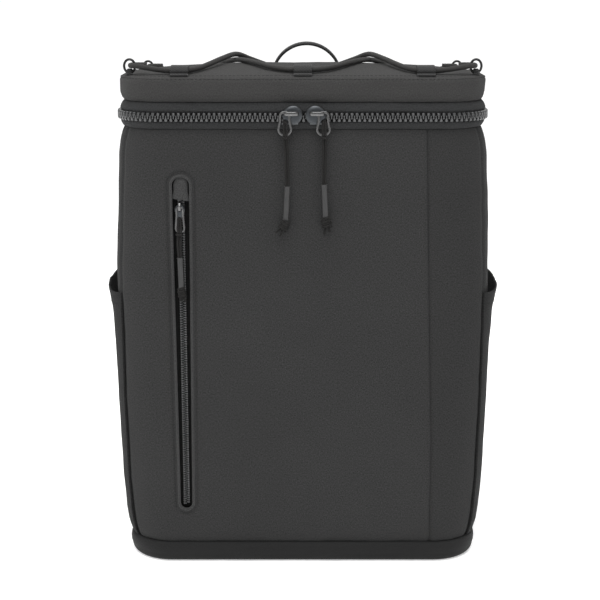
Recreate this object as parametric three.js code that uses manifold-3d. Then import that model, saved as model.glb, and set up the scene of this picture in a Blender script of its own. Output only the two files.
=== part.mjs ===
import * as THREE from 'three';
import { mergeVertices } from 'three/addons/utils/BufferGeometryUtils.js';
import Module from 'manifold-3d';

// A soft-sided cooler backpack: an insulated tub under a zipped lid, millimetres, +Z up.
// The front faces -Y. The body is centred on X and Y until the whole is placed at the end.

// Body and lid
const bodyWidth = 306;
const bodyDepth = 190;
const cornerRadius = 38;
const bodyTop = 379.5;
const wall = 8;
const seamTuck = 3;
const tuckRise = 24;
const tubFloor = 12;
const cavityRadius = 28;
const seatGap = 0.3;

// Base panel, a shallow tray round the foot of the tub
const baseHeight = 18;
const baseFloor = 6;
const baseWall = 2.5;
const baseRound = 7;

// Zip band between the tub and the lid
const bandHeight = 22.3;
const tapeThickness = 1.8;
const tapeInset = 0.6;
const chainHeight = 7.3;
const chainCentre = 10.3;
const chainProud = 2.2;
const chainThickness = 3.6;
const bandEndFromBack = 25;

// Lid
const lidHeight = 20.2;
const lidCeiling = 8;
const lidCrown = 7.4;
const lidFall = 15;
const lidFallStart = 75;
const lidTuck = 3.4;
const lidEdgeRound = 4.5;

// Front panels and the pocket behind them
const panelThickness = 2;
const pocketSpace = 3.2;
const cornerSeamTurn = 57;
const pocketMargin = 12;
const slotFromSide = 52;
const slotTop = 341;
const slotBottom = 50;
const slotTopWidth = 14.6;
const slotBottomWidth = 10.4;
const weltWidth = 1.8;
const weltProud = 0.8;
const slotTapeThickness = 1.2;
const slotTapeMargin = 2.5;
const slotChainWidth = 5.6;
const slotChainThickness = 2.2;
const garageLength = 19;
const garageThickness = 1.3;

// Zip sliders and pullers
const sliderLength = 17;
const sliderWide = 15.6;
const sliderNarrow = 10;
const sliderPlate = 2.2;
const sliderSpacing = 19;
const sliderFlange = 1.5;
const bailLength = 12;
const bailHeight = 3.4;
const bailThickness = 1.5;
const bailWindow = 2.5;
const pullerThickness = 1.6;
const pullerWire = 1.7;
const pullerTopWidth = 9.4;
const pullerBottomWidth = 12.1;
const pullerHeight = 20.5;
const pocketSliderLength = 12;
const pocketSliderWidth = 8.4;
const pocketPullerWidth = 8.6;
const pocketPullerLength = 22;

// Pull cords, their sleeves and knots
const pullCordDiameter = 4;
const sleeveDiameter = 4.6;
const knotDiameter = 5.6;
const tailLength = 8;

// Side pockets
const pocketHeight = 241;
const pocketGape = 11;
const pocketWall = 1.6;
const pocketFromBack = 23;

// Lid webbing loops, corner rings and bungee cord
const loopWidth = 15;
const loopFromSide = 52;
const loopFromEdge = 15;
const loopThickness = 1.5;
const loopHeight = 5.3;
const loopSpan = 12;
const loopFoot = 5;
const ringFromSide = 10;
const ringFromEdge = 23;
const ringWidth = 11;
const ringHeight = 13;
const ringWire = 2;
const ringTabWidth = 4.5;
const bungeeDiameter = 4.4;

// Back panel, harness and haul handle
const backPanelMargin = 25;
const backPanelThickness = 14;
const backPanelBottom = 30;
const backPanelDrop = 5.5;
const backPanelRound = 5;
const strapWidth = 62;
const strapThickness = 11;
const strapTopX = 44;
const strapBottomX = 82;
const strapDrop = 8;
const strapBottomZ = 122;
const strapBow = 20;
const webbingWidth = 25;
const webbingThickness = 1.8;
const anchorX = 108;
const anchorZ = 44;
const anchorWidth = 34;
const anchorHeight = 22;
const anchorThickness = 3;
const buckleWidth = 36;
const buckleHeight = 24;
const buckleThickness = 5;
const handleX = 4;
const handleRadius = 33.75;
const handleAboveLid = 18;
const handleWidth = 22;
const handleThickness = 2.5;

// Derived places
const halfWidth = bodyWidth / 2;
const halfDepth = bodyDepth / 2;
const lidBottom = bodyTop + bandHeight;
const lidTop = lidBottom + lidHeight;
const frontY = -halfDepth;
const backY = halfDepth;
const chainZ = bodyTop + chainCentre;
const slotX = -(halfWidth - slotFromSide);
const bandEndY = halfDepth - bandEndFromBack;
const pocketRearY = halfDepth - pocketFromBack;
const loopSpacing = halfWidth - loopFromSide;
const loopRowY = halfDepth - loopFromEdge;
const ringX = halfWidth - ringFromSide;
const ringY = halfDepth - ringFromEdge;
const backPanelFace = backY + seatGap + backPanelThickness;
const backPanelTop = bodyTop - backPanelDrop;
const strapTopZ = backPanelTop - strapDrop;
const handleTop = lidTop + handleAboveLid;

// How a seam's tuck fades with height: shares of the rise and of the tuck
const fade = [
  { rise: 0, tuck: 1 },
  { rise: 0.15, tuck: 0.55 },
  { rise: 0.45, tuck: 0.15 },
  { rise: 1, tuck: 0 },
];

// How far the soft sides stand out at each share of the tub's height
const sideProfile = [
  { rise: 0, out: 0 },
  { rise: 0.06, out: 2.4 },
  { rise: 0.15, out: 4.5 },
  { rise: 0.35, out: 6.4 },
  { rise: 0.66, out: 6.8 },
  { rise: 0.84, out: 4.4 },
  { rise: 0.94, out: 2.6 },
  { rise: 1, out: 0 },
];

// The lid's front in elevation: shares of its height and of its lower tuck or top rounding
const lidProfile = [
  { rise: 0, tuck: 1, round: 0 },
  { rise: 0.12, tuck: 0.45, round: 0 },
  { rise: 0.32, tuck: 0.08, round: 0 },
  { rise: 0.58, tuck: 0, round: 0 },
  { rise: 0.82, tuck: 0, round: 0.2 },
  { rise: 0.94, tuck: 0, round: 0.5 },
  { rise: 1, tuck: 0, round: 1 },
];

// The base panel's side in elevation: shares of its height and of its rounding
const baseProfile = [
  { rise: 0, round: 1 },
  { rise: 0.08, round: 0.43 },
  { rise: 0.22, round: 0.14 },
  { rise: 0.42, round: 0 },
  { rise: 0.78, round: -0.1 },
  { rise: 1, round: 0 },
];

// The slanting seam on the right of the front: shares of the panel's height and half width
const seamRoute = [
  { rise: 0, across: 0.7255 },
  { rise: 0.26, across: 0.7235 },
  { rise: 0.75, across: 0.684 },
  { rise: 1, across: 0.667 },
];

// A side pocket from foot to mouth: shares of its height and of its gape
const pocketProfile = [
  { rise: 0, gape: 0.02 },
  { rise: 0.3, gape: 0.06 },
  { rise: 0.6, gape: 0.12 },
  { rise: 0.8, gape: 0.3 },
  { rise: 0.92, gape: 0.55 },
  { rise: 1, gape: 1 },
];

// A shoulder strap from top to bottom: shares of its run, bow, width and thickness
const strapProfile = [
  { run: 0, bow: 0, width: 0.92, thick: 0.8 },
  { run: 0.08, bow: 0.06, width: 0.98, thick: 1 },
  { run: 0.2, bow: 0.52, width: 1, thick: 1 },
  { run: 0.35, bow: 0.88, width: 1, thick: 1 },
  { run: 0.52, bow: 1, width: 1, thick: 1 },
  { run: 0.7, bow: 0.9, width: 0.96, thick: 1 },
  { run: 0.86, bow: 0.66, width: 0.86, thick: 1 },
  { run: 0.95, bow: 0.5, width: 0.68, thick: 0.9 },
  { run: 1, bow: 0.42, width: 0.5, thick: 0.6 },
];

const wasm = await Module();
wasm.setup();

const radians = THREE.MathUtils.degToRad;
const at = (x, y, z) => new THREE.Vector3(x, y, z);

function finish(color, roughness, metalness = 0) {
  return new THREE.MeshStandardMaterial({ color, roughness, metalness });
}

const fabric = () => finish(0x3c3c3d, 0.85);
const baseFabric = () => finish(0x303031, 0.85);
const webbing = () => finish(0x29292a, 0.9);
const tape = () => finish(0x37383a, 0.8);
const chainResin = () => finish(0x5c5e60, 0.4);
const sliderMetal = () => finish(0x55565c, 0.35, 0.8);
const ringMetal = () => finish(0x1c1b1b, 0.45, 0.4);
const cordCloth = () => finish(0x3f3e3d, 0.9);
const sleeveRubber = () => finish(0x4f5052, 0.6);
const bucklePlastic = () => finish(0x1e1e1f, 0.5);

// Solids from rings of points

function geometryFrom(positions, faces) {
  const geometry = new THREE.BufferGeometry();
  geometry.setAttribute('position', new THREE.Float32BufferAttribute(positions, 3));
  geometry.setIndex(faces);
  geometry.computeVertexNormals();
  return geometry;
}

function fanFaces(count) {
  const faces = [];
  for (let i = 1; i < count - 1; i++) faces.push([0, i, i + 1]);
  return faces;
}

// The end of a bent wall: its ring runs along the outer side and back along the inner side
function bandFaces(count) {
  const faces = [];
  for (let i = 0; i < count / 2 - 1; i++) {
    faces.push([i, i + 1, count - 2 - i]);
    faces.push([i, count - 2 - i, count - 1 - i]);
  }
  return faces;
}

// Rings run anticlockwise seen against the way that the stack of rings travels
function solidFromRings(rings, endFaces = fanFaces) {
  const count = rings[0].length;
  const positions = rings.flat().flatMap((p) => [p.x, p.y, p.z]);
  const faces = [];
  for (let k = 0; k < rings.length - 1; k++) {
    for (let i = 0; i < count; i++) {
      const j = (i + 1) % count;
      const low = k * count;
      const high = low + count;
      faces.push(low + i, low + j, high + j, low + i, high + j, high + i);
    }
  }
  const last = (rings.length - 1) * count;
  for (const [a, b, c] of endFaces(count)) {
    faces.push(a, c, b);
    faces.push(last + a, last + b, last + c);
  }
  return geometryFrom(positions, faces);
}

function bareGeometry(geometry) {
  const bare = geometry.clone();
  bare.deleteAttribute('normal');
  bare.deleteAttribute('uv');
  return mergeVertices(bare, 1e-4);
}

function mirroredX(geometry) {
  const copy = bareGeometry(geometry);
  copy.scale(-1, 1, 1);
  const index = copy.index.array;
  for (let i = 0; i < index.length; i += 3) {
    [index[i + 1], index[i + 2]] = [index[i + 2], index[i + 1]];
  }
  copy.computeVertexNormals();
  return copy;
}

function toSolid(geometry) {
  const merged = bareGeometry(geometry);
  return new wasm.Manifold(new wasm.Mesh({
    numProp: 3,
    vertProperties: new Float32Array(merged.attributes.position.array),
    triVerts: new Uint32Array(merged.index.array),
  }));
}

function toGeometry(solid) {
  const mesh = solid.getMesh();
  return geometryFrom([...mesh.vertProperties], [...mesh.triVerts]);
}

// Profiles and the lid's top surface

// A table's value at a share of its height, straight between the rows
function valueAt(table, rise, column) {
  const next = Math.max(table.findIndex((row) => row.rise >= rise), 1);
  const [low, high] = [table[next - 1], table[next]];
  return THREE.MathUtils.mapLinear(rise, low.rise, high.rise, low[column], high[column]);
}

function sideSwell(z) {
  const foot = baseHeight + seatGap;
  return valueAt(sideProfile, THREE.MathUtils.clamp((z - foot) / (bodyTop - foot), 0, 1), 'out');
}

// The padded lid is crowned over its middle and falls away towards its hinge
function lidRise(x, y) {
  const across = 1 - Math.min(Math.abs(x / halfWidth), 1) ** 2.5;
  const along = 1 - (y / halfDepth) ** 2;
  const share = Math.max(0, (y + halfDepth - lidFallStart) / (bodyDepth - lidFallStart));
  return lidCrown * across * along - lidFall * share ** 1.5;
}

function lidSurface(x, y) {
  return lidTop + lidRise(x, y);
}

// Plan outlines of the body

function cornerArc(sideX, sideY, from, to, steps, inset, z) {
  const radius = cornerRadius - inset;
  const centreX = halfWidth - cornerRadius + sideSwell(z);
  const points = [];
  for (let i = 0; i <= steps; i++) {
    const turn = radians(from + (to - from) * i / steps);
    const x = sideX * centreX + radius * Math.cos(turn);
    const y = sideY * (halfDepth - cornerRadius) + radius * Math.sin(turn);
    points.push(at(x, y, z));
  }
  return points;
}

const cornerSteps = 7;

function bodyRing(inset, z) {
  return [
    ...cornerArc(1, -1, -90, 0, cornerSteps, inset, z),
    ...cornerArc(1, 1, 0, 90, cornerSteps, inset, z),
    ...cornerArc(-1, 1, 90, 180, cornerSteps, inset, z),
    ...cornerArc(-1, -1, 180, 270, cornerSteps, inset, z),
  ];
}

function roundedRing(centreX, centreY, halfX, halfY, radius, steps, z) {
  const points = [];
  for (const [sideX, sideY, from] of [[1, -1, -90], [1, 1, 0], [-1, 1, 90], [-1, -1, 180]]) {
    for (let i = 0; i <= steps; i++) {
      const turn = radians(from + 90 * i / steps);
      const x = centreX + sideX * (halfX - radius) + radius * Math.cos(turn);
      const y = centreY + sideY * (halfY - radius) + radius * Math.sin(turn);
      points.push(at(x, y, z));
    }
  }
  return points;
}

// Round the front from one side to the other, ending part way round each corner
function frontPath(turn, inset, z) {
  return [
    ...cornerArc(-1, -1, 270 - turn, 270, 5, inset, z),
    ...cornerArc(1, -1, 270, 270 + turn, 5, inset, z),
  ];
}

// Round the front and along both sides to a given depth
function zipPath(endY, inset, z) {
  return [
    at(-halfWidth + inset, endY, z),
    ...cornerArc(-1, -1, 180, 270, cornerSteps, inset, z),
    ...cornerArc(1, -1, 270, 360, cornerSteps, inset, z),
    at(halfWidth - inset, endY, z),
  ];
}

// Round the back from one side to the other
function hingePath(endY, inset, z) {
  return [
    at(halfWidth - inset, endY, z),
    ...cornerArc(1, 1, 0, 90, cornerSteps, inset, z),
    ...cornerArc(-1, 1, 90, 180, cornerSteps, inset, z),
    at(-halfWidth + inset, endY, z),
  ];
}

// A wall of even thickness that follows a plan path; rows hold its inset at each height
function wallAlong(path, rows, thickness) {
  const rings = rows.map(({ inset, z }) => {
    const outer = path(inset, z);
    const inner = path(inset + thickness, z);
    return [...outer, ...inner.reverse()];
  });
  return solidFromRings(rings, bandFaces);
}

// The tub's side in elevation, above the base panel
function bodyRows() {
  const footTuck = baseWall + seatGap;
  const foot = baseHeight + seatGap;
  const rising = fade.map((row) => ({ inset: row.tuck * footTuck, z: foot + row.rise * tuckRise }));
  const closing = fade.map((row) => ({ inset: row.tuck * seamTuck, z: bodyTop - row.rise * tuckRise }));
  const middle = sideProfile
    .map((row) => ({ inset: 0, z: foot + row.rise * (bodyTop - foot) }))
    .filter((row) => row.z > foot + tuckRise && row.z < bodyTop - tuckRise);
  return [...rising, ...middle, ...closing.reverse()];
}

// Flat shapes and prisms

function shapeFrom(points) {
  return new THREE.Shape(points.map(([x, y]) => new THREE.Vector2(x, y)));
}

// A prism whose outline is drawn on the X-Z plane, between two depths
function prismXZ(shape, nearY, farY, curveSegments = 6) {
  const depth = farY - nearY;
  const geometry = new THREE.ExtrudeGeometry(shape, { depth, bevelEnabled: false, curveSegments });
  geometry.rotateX(Math.PI / 2);
  geometry.translate(0, farY, 0);
  return geometry;
}

// A vertical slot with round ends, wider at the top, grown by a margin all round
function slotShape(grow) {
  const topRadius = slotTopWidth / 2;
  const bottomRadius = slotBottomWidth / 2;
  const shape = new THREE.Shape();
  shape.absarc(slotX, slotTop - topRadius, topRadius + grow, 0, Math.PI, false);
  shape.absarc(slotX, slotBottom + bottomRadius, bottomRadius + grow, Math.PI, 2 * Math.PI, false);
  return shape;
}

// A flat band of even section along a path; its width lies along one fixed direction
function ribbon(path, width, thickness, across) {
  const rings = path.map((point, i) => {
    const before = path[Math.max(i - 1, 0)];
    const after = path[Math.min(i + 1, path.length - 1)];
    const along = after.clone().sub(before).normalize();
    const up = along.clone().cross(across).normalize().multiplyScalar(thickness / 2);
    const side = across.clone().multiplyScalar(width / 2);
    return [
      point.clone().add(side).add(up),
      point.clone().sub(side).add(up),
      point.clone().sub(side).sub(up),
      point.clone().add(side).sub(up),
    ];
  });
  return solidFromRings(rings);
}

// A round cord through chosen points, with the same number of steps in each span
function cordThrough(points, diameter, sides, spanSteps) {
  const curve = new THREE.CatmullRomCurve3(points, false, 'centripetal');
  const centres = curve.getPoints((points.length - 1) * spanSteps);
  let side = null;
  const rings = centres.map((centre, i) => {
    const before = centres[Math.max(i - 1, 0)];
    const after = centres[Math.min(i + 1, centres.length - 1)];
    const along = after.clone().sub(before).normalize();
    const guide = side ?? (Math.abs(along.z) < 0.9 ? at(0, 0, 1) : at(1, 0, 0));
    side = guide.clone().addScaledVector(along, -guide.dot(along)).normalize();
    const up = along.clone().cross(side);
    const ring = [];
    for (let k = 0; k < sides; k++) {
      const turn = 2 * Math.PI * k / sides;
      ring.push(centre.clone()
        .addScaledVector(side, Math.cos(turn) * diameter / 2)
        .addScaledVector(up, Math.sin(turn) * diameter / 2));
    }
    return ring;
  });
  return solidFromRings(rings);
}

const bag = new THREE.Group();

function piece(name, geometry, material) {
  const mesh = new THREE.Mesh(geometry, material);
  mesh.name = name;
  bag.add(mesh);
  return mesh;
}

// Main form

function basePanel() {
  const rings = baseProfile.map((row) => bodyRing(row.round * baseRound, row.rise * baseHeight));
  rings.push(bodyRing(baseWall, baseHeight));
  rings.push(bodyRing(baseWall, baseFloor));
  piece('base_panel', solidFromRings(rings), baseFabric());
}

const cavityFront = frontY + panelThickness + pocketSpace + wall;
const cavityBack = backY - seamTuck - wall;
const cavityHalfX = halfWidth - seamTuck - wall;

function cavityRing(z) {
  const middle = (cavityFront + cavityBack) / 2;
  const half = (cavityBack - cavityFront) / 2;
  return roundedRing(0, middle, cavityHalfX, half, cavityRadius, cornerSteps, z);
}

function panelWall(turn, outerInset, thickness, rows) {
  const moved = rows.map((row) => ({ inset: row.inset + outerInset, z: row.z }));
  return wallAlong((inset, z) => frontPath(turn, inset, z), moved, thickness);
}

// The recess in the tub that the front panels lie in, open towards the front
function panelRecess() {
  const rows = bodyRows();
  rows[0].z = baseHeight;
  rows.push({ inset: seamTuck, z: bodyTop + 1 });
  const outset = 4;
  return panelWall(cornerSeamTurn, -outset, outset + panelThickness + seatGap, rows);
}

// The flat space of the front pocket, behind the panel
function pocketVoid() {
  const left = -(halfWidth - cornerRadius);
  const right = seamRoute.at(-1).across * halfWidth - pocketMargin;
  const low = slotBottom - pocketMargin - slotTapeMargin;
  const high = slotTop + pocketMargin;
  const shape = shapeFrom([[left, low], [right, low], [right, high], [left, high]]);
  return prismXZ(shape, frontY, frontY + panelThickness + pocketSpace);
}

function insulatedTub() {
  const clear = baseWall + seatGap;
  const bottom = baseFloor + seatGap;
  const footRound = 3;
  const rings = [
    bodyRing(clear + footRound, bottom),
    bodyRing(clear, bottom + footRound),
    ...bodyRows().map((row) => bodyRing(row.inset, row.z)),
    cavityRing(bodyTop),
    cavityRing(bottom + tubFloor),
  ];
  const tub = toSolid(solidFromRings(rings));
  const cut = tub.subtract(toSolid(panelRecess())).subtract(toSolid(pocketVoid()));
  piece('insulated_tub', toGeometry(cut), fabric());
}

// The body's ring with its long edges divided, so that it can follow the crown
function dividedRing(inset) {
  const ring = bodyRing(inset, lidBottom);
  return ring.flatMap((point, i) => {
    const next = ring[(i + 1) % ring.length];
    const parts = Math.max(1, Math.round(point.distanceTo(next) / lidSpan));
    return Array.from({ length: parts }, (_, k) => point.clone().lerp(next, k / parts));
  });
}

const lidSpan = 75;
const lidShrink = [0.9, 0.72, 0.5, 0.25];

// A ring part way up the lid's side, less a thickness below its top
function lidRing(inset, rise, thickness = 0) {
  return dividedRing(inset).map(({ x, y }) => (
    at(x, y, lidBottom + rise * (lidHeight + lidRise(x, y)) - thickness)
  ));
}

function lid() {
  const rimInset = lidTuck + wall;
  const rings = [lidRing(rimInset, 1, lidCeiling), lidRing(rimInset, 0)];
  for (const row of lidProfile) rings.push(lidRing(row.tuck * lidTuck + row.round * lidEdgeRound, row.rise));
  const edge = dividedRing(lidEdgeRound);
  for (const size of lidShrink) {
    rings.push(edge.map(({ x, y }) => at(x * size, y * size, lidSurface(x * size, y * size))));
  }
  piece('lid', solidFromRings(rings), fabric());
}

// Zip band

function zipBand() {
  const chainLow = chainZ - chainHeight / 2;
  const chainHigh = chainZ + chainHeight / 2;
  const path = (inset, z) => zipPath(bandEndY, inset, z);
  const seamInset = seamTuck - seatGap;
  const lower = [
    { inset: seamInset, z: bodyTop + seatGap },
    { inset: tapeInset + 0.25 * seamInset, z: bodyTop + 0.35 * (chainLow - bodyTop) },
    { inset: tapeInset, z: chainLow - seatGap },
  ];
  const upper = [
    { inset: tapeInset, z: chainHigh + seatGap },
    { inset: tapeInset + 0.25 * seamInset, z: lidBottom - 0.35 * (lidBottom - chainHigh) },
    { inset: seamInset, z: lidBottom - seatGap },
  ];
  piece('zip_tape_lower', wallAlong(path, lower, tapeThickness), tape());
  piece('zip_tape_upper', wallAlong(path, upper, tapeThickness), tape());
  const chain = [{ inset: -chainProud, z: chainLow }, { inset: -chainProud, z: chainHigh }];
  piece('zip_chain', wallAlong(path, chain, chainThickness), chainResin());
  const hinge = [
    { inset: seamInset, z: bodyTop + seatGap },
    { inset: tapeInset + 0.25 * seamInset, z: bodyTop + 0.18 * bandHeight },
    { inset: tapeInset + 0.25 * seamInset, z: bodyTop + 0.82 * bandHeight },
    { inset: seamInset, z: lidBottom - seatGap },
  ];
  const hingeEnd = bandEndY + seatGap;
  const back = (inset, z) => hingePath(hingeEnd, inset, z);
  piece('lid_hinge_band', wallAlong(back, hinge, tapeThickness), fabric());
}

// Front panels

function seamEdge(shift) {
  const foot = baseHeight;
  const height = bodyTop - foot;
  return seamRoute.map((row) => [row.across * halfWidth + shift, foot + row.rise * height]);
}

function frontPanels() {
  const endTurn = cornerSeamTurn - THREE.MathUtils.radToDeg(seatGap / cornerRadius);
  const blank = toSolid(panelWall(endTurn, 0, panelThickness, bodyRows()));
  const beyond = bodyWidth;
  const edgeLeft = seamEdge(-seatGap / 2);
  const edgeRight = seamEdge(seatGap / 2);
  const low = edgeLeft[0][1] - wall;
  const high = edgeLeft.at(-1)[1] + wall;
  const stretch = (edge) => [[edge[0][0], low], ...edge, [edge.at(-1)[0], high]];
  const leftShape = shapeFrom([[-beyond, low], ...stretch(edgeLeft), [-beyond, high]]);
  const rightShape = shapeFrom([...stretch(edgeRight), [beyond, high], [beyond, low]].reverse());
  const leftPart = toSolid(prismXZ(leftShape, -bodyDepth, 0));
  const rightPart = toSolid(prismXZ(rightShape, -bodyDepth, 0));
  const welt = toSolid(prismXZ(slotShape(weltWidth), frontY - weltProud, frontY + panelThickness / 2));
  const slot = toSolid(prismXZ(slotShape(0), frontY - bodyDepth, frontY + bodyDepth / 4));
  const pocketPanel = blank.intersect(leftPart).add(welt).subtract(slot);
  piece('front_pocket_panel', toGeometry(pocketPanel), fabric());
  piece('front_side_panel', toGeometry(blank.intersect(rightPart)), fabric());
}

// Pocket zip in its slot

const slotTapeBack = frontY + panelThickness + pocketSpace - seatGap;
const slotTapeFront = slotTapeBack - slotTapeThickness;
const slotChainBack = slotTapeFront - seatGap;
const slotChainFront = slotChainBack - slotChainThickness;
const garageBottom = slotTop - garageLength;

function pocketZip() {
  piece('pocket_zip_tape', prismXZ(slotShape(slotTapeMargin), slotTapeFront, slotTapeBack), tape());
  const half = slotChainWidth / 2;
  const low = slotBottom + slotBottomWidth / 2;
  const high = garageBottom + garageLength / 2;
  const shape = shapeFrom([
    [slotX - half, low], [slotX + half, low], [slotX + half, high], [slotX - half, high],
  ]);
  piece('pocket_zip_chain', prismXZ(shape, slotChainFront, slotChainBack), chainResin());
}

function pocketGarage() {
  const half = slotTopWidth / 2 - seatGap;
  const shape = new THREE.Shape();
  shape.moveTo(slotX - half, garageBottom);
  shape.lineTo(slotX + half, garageBottom);
  shape.absarc(slotX, slotTop - slotTopWidth / 2, half, 0, Math.PI, false);
  const back = slotChainFront - seatGap;
  piece('pocket_zip_garage', prismXZ(shape, back - garageThickness, back), fabric());
}

// Sliders: a teardrop plate over the chain, two flanges beside it and a bail on the front

function teardropShape(length, wide, narrow) {
  const wideRadius = wide / 2;
  const narrowRadius = narrow / 2;
  const reach = length - wideRadius - narrowRadius;
  const lean = Math.asin((wideRadius - narrowRadius) / reach);
  const shape = new THREE.Shape();
  shape.absarc(0, 0, wideRadius, -Math.PI / 2 - lean, Math.PI / 2 + lean, false);
  shape.absarc(-reach, 0, narrowRadius, Math.PI / 2 + lean, 1.5 * Math.PI - lean, false);
  return shape;
}

// The bail stands on a plate whose front lies at y = 0, and runs along X
function bailSolid(length, height, window) {
  const half = length / 2 - bailThickness / 2;
  const out = -(window + bailThickness / 2);
  const bend = 0.3 * length;
  const path = [
    at(-half, bailThickness, 0), at(-half, out * 0.6, 0), at(-half + bend * 0.4, out, 0),
    at(half - bend * 0.4, out, 0), at(half, out * 0.6, 0), at(half, bailThickness, 0),
  ];
  return toSolid(ribbon(path, height, bailThickness, at(0, 0, 1)));
}

const sliderBack = frontY - chainProud - seatGap;
const sliderFace = sliderBack - sliderPlate;
const pullerGap = (bailWindow - pullerThickness) / 2;
const sliderWideX = sliderSpacing / 2;
const pairX = 1;
const bailOffX = -1;
const bailOffZ = 1.5;

function mainSliderSolid() {
  const shape = teardropShape(sliderLength, sliderWide, sliderNarrow);
  const plate = toSolid(prismXZ(shape, sliderFace, sliderBack));
  const inner = chainHeight / 2 + seatGap;
  const outer = inner + sliderFlange;
  const reach = sliderLength - sliderWide / 2;
  const flangeBack = frontY + tapeInset - seatGap;
  let solid = plate;
  for (const side of [-1, 1]) {
    const low = Math.min(side * inner, side * outer);
    const high = Math.max(side * inner, side * outer);
    const [start, end] = [-reach * 0.8, reach * 0.5];
    const bar = shapeFrom([[start, low], [end, low], [end, high], [start, high]]);
    solid = solid.add(toSolid(prismXZ(bar, sliderBack - sliderPlate / 2, flangeBack)));
  }
  const bail = bailSolid(bailLength, bailHeight, bailWindow);
  return solid.add(bail.translate([bailOffX, sliderFace, bailOffZ]));
}

// A puller is a flat wire loop, a little wider at its foot, hung on one side of the bail
function pullerShape(topWidth, bottomWidth, height, wire) {
  const outline = (grow) => {
    const top = topWidth / 2 + grow;
    const foot = bottomWidth / 2 + grow;
    const points = [];
    for (let i = 0; i <= 6; i++) {
      const turn = Math.PI * i / 6;
      points.push([top * Math.cos(turn), -top + grow + 0.55 * top * Math.sin(turn) + 0.45 * top]);
    }
    for (let i = 0; i <= 6; i++) {
      const turn = Math.PI + Math.PI * i / 6;
      points.push([foot * Math.cos(turn), -height + foot - grow + foot * Math.sin(turn)]);
    }
    return points;
  };
  const shape = shapeFrom(outline(0));
  shape.holes.push(new THREE.Path(outline(-wire).map(([x, y]) => new THREE.Vector2(x, y))));
  return shape;
}

const pullerTopZ = chainZ + bailOffZ + bailHeight / 2 + 2 * seatGap + pullerWire;
const pullerOffX = sliderWideX - bailOffX + (bailLength - bailThickness) / 2;
const pullerY = sliderFace - pullerGap - pullerThickness / 2;
const pullerFootZ = pullerTopZ - pullerHeight;

function mainPullers() {
  const slider = toGeometry(mainSliderSolid());
  const shape = pullerShape(pullerTopWidth, pullerBottomWidth, pullerHeight, pullerWire);
  for (const side of [-1, 1]) {
    const name = side < 0 ? 'left' : 'right';
    const placed = side < 0 ? slider.clone() : mirroredX(slider);
    placed.translate(side * sliderWideX + pairX, 0, chainZ);
    piece(`${name}_slider`, placed, sliderMetal());
    const puller = prismXZ(shape, -pullerThickness, 0);
    puller.translate(side * pullerOffX + pairX, pullerY + pullerThickness / 2, pullerTopZ);
    piece(`${name}_puller`, puller, sliderMetal());
  }
}

const pocketSliderFace = slotChainFront - seatGap - sliderPlate;
const pocketSliderZ = garageBottom - seatGap - pocketSliderWidth / 2;
const pocketPullerY = pocketSliderFace - pullerGap - pullerThickness / 2;
const pocketPullerFootZ = pocketSliderZ - 1.2 - pocketPullerLength;

function pocketPuller() {
  const shape = teardropShape(pocketSliderLength, pocketSliderWidth, pocketSliderWidth * 0.7);
  const back = slotChainFront - seatGap;
  const plate = prismXZ(shape, -sliderPlate, 0);
  plate.rotateY(-Math.PI / 2);
  const bail = toGeometry(bailSolid(bailLength * 0.6, bailHeight * 0.6, bailWindow));
  bail.rotateY(Math.PI / 2);
  bail.translate(0, -sliderPlate, -pocketSliderLength / 8);
  const solid = toSolid(plate).add(toSolid(bail));
  const placed = toGeometry(solid);
  placed.translate(slotX - 0.8, back, pocketSliderZ);
  piece('pocket_slider', placed, sliderMetal());
  const loop = pullerShape(pocketPullerWidth * 0.8, pocketPullerWidth, pocketPullerLength, pullerWire * 0.9);
  const puller = prismXZ(loop, -pullerThickness, 0);
  puller.translate(slotX - 0.8, pocketPullerY + pullerThickness / 2, pocketPullerFootZ + pocketPullerLength);
  piece('pocket_puller', puller, sliderMetal());
}

// Pull cords: a doubled cord from the puller's foot into a sleeve, and a knot with two tails

function knotSolid(spread) {
  const ball = new THREE.SphereGeometry(knotDiameter / 2, 10, 6);
  ball.scale(1, 0.9, 1.1);
  ball.rotateX(Math.PI / 2);
  let solid = toSolid(ball);
  for (const side of [-1, 1]) {
    const tail = cordThrough([at(0, 0, 0), at(side * spread, 0, -knotDiameter / 2 - tailLength)],
      pullCordDiameter / 2, 8, 1);
    solid = solid.add(toSolid(tail));
  }
  return toGeometry(solid);
}

// The route runs from the puller's foot to the knot; sleeve gives its top and foot along it
function pullCord(name, route, sleeveSteps, knotLean) {
  const [sleeveTop, sleeveFoot] = sleeveSteps.map((step) => route[step]);
  const upper = route.slice(0, sleeveSteps[0]);
  const down = sleeveFoot.clone().sub(sleeveTop).normalize();
  upper.push(sleeveTop.clone().addScaledVector(down, -seatGap));
  piece(`${name}_pull_cord`, cordThrough(upper, pullCordDiameter, 8, 2), cordCloth());
  const sleeve = cordThrough([sleeveTop, sleeveFoot], sleeveDiameter, 10, 1);
  piece(`${name}_pull_sleeve`, sleeve, sleeveRubber());
  const knot = knotSolid(1.6);
  knot.rotateY(radians(knotLean));
  const drop = knotDiameter * 0.55 + seatGap;
  const centre = sleeveFoot.clone().addScaledVector(down, drop);
  knot.translate(centre.x, centre.y, centre.z);
  piece(`${name}_pull_knot`, knot, cordCloth());
}

// Cord routes, chosen by hand: X, then the drop below the puller's foot
const leftCordRoute = [[-14.3, 0.4], [-13.4, 10], [-13, 24], [-12.8, 41], [-13.4, 55], [-14.1, 69]];
const rightCordRoute = [[17.4, 0.4], [17.8, 11], [17.5, 25], [17.6, 39.5], [18.2, 53], [18.8, 66.5]];
const pocketCordRoute = [[-102.3, 0.4], [-103, 9], [-102.3, 21], [-101.9, 34], [-101.6, 47]];

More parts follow.
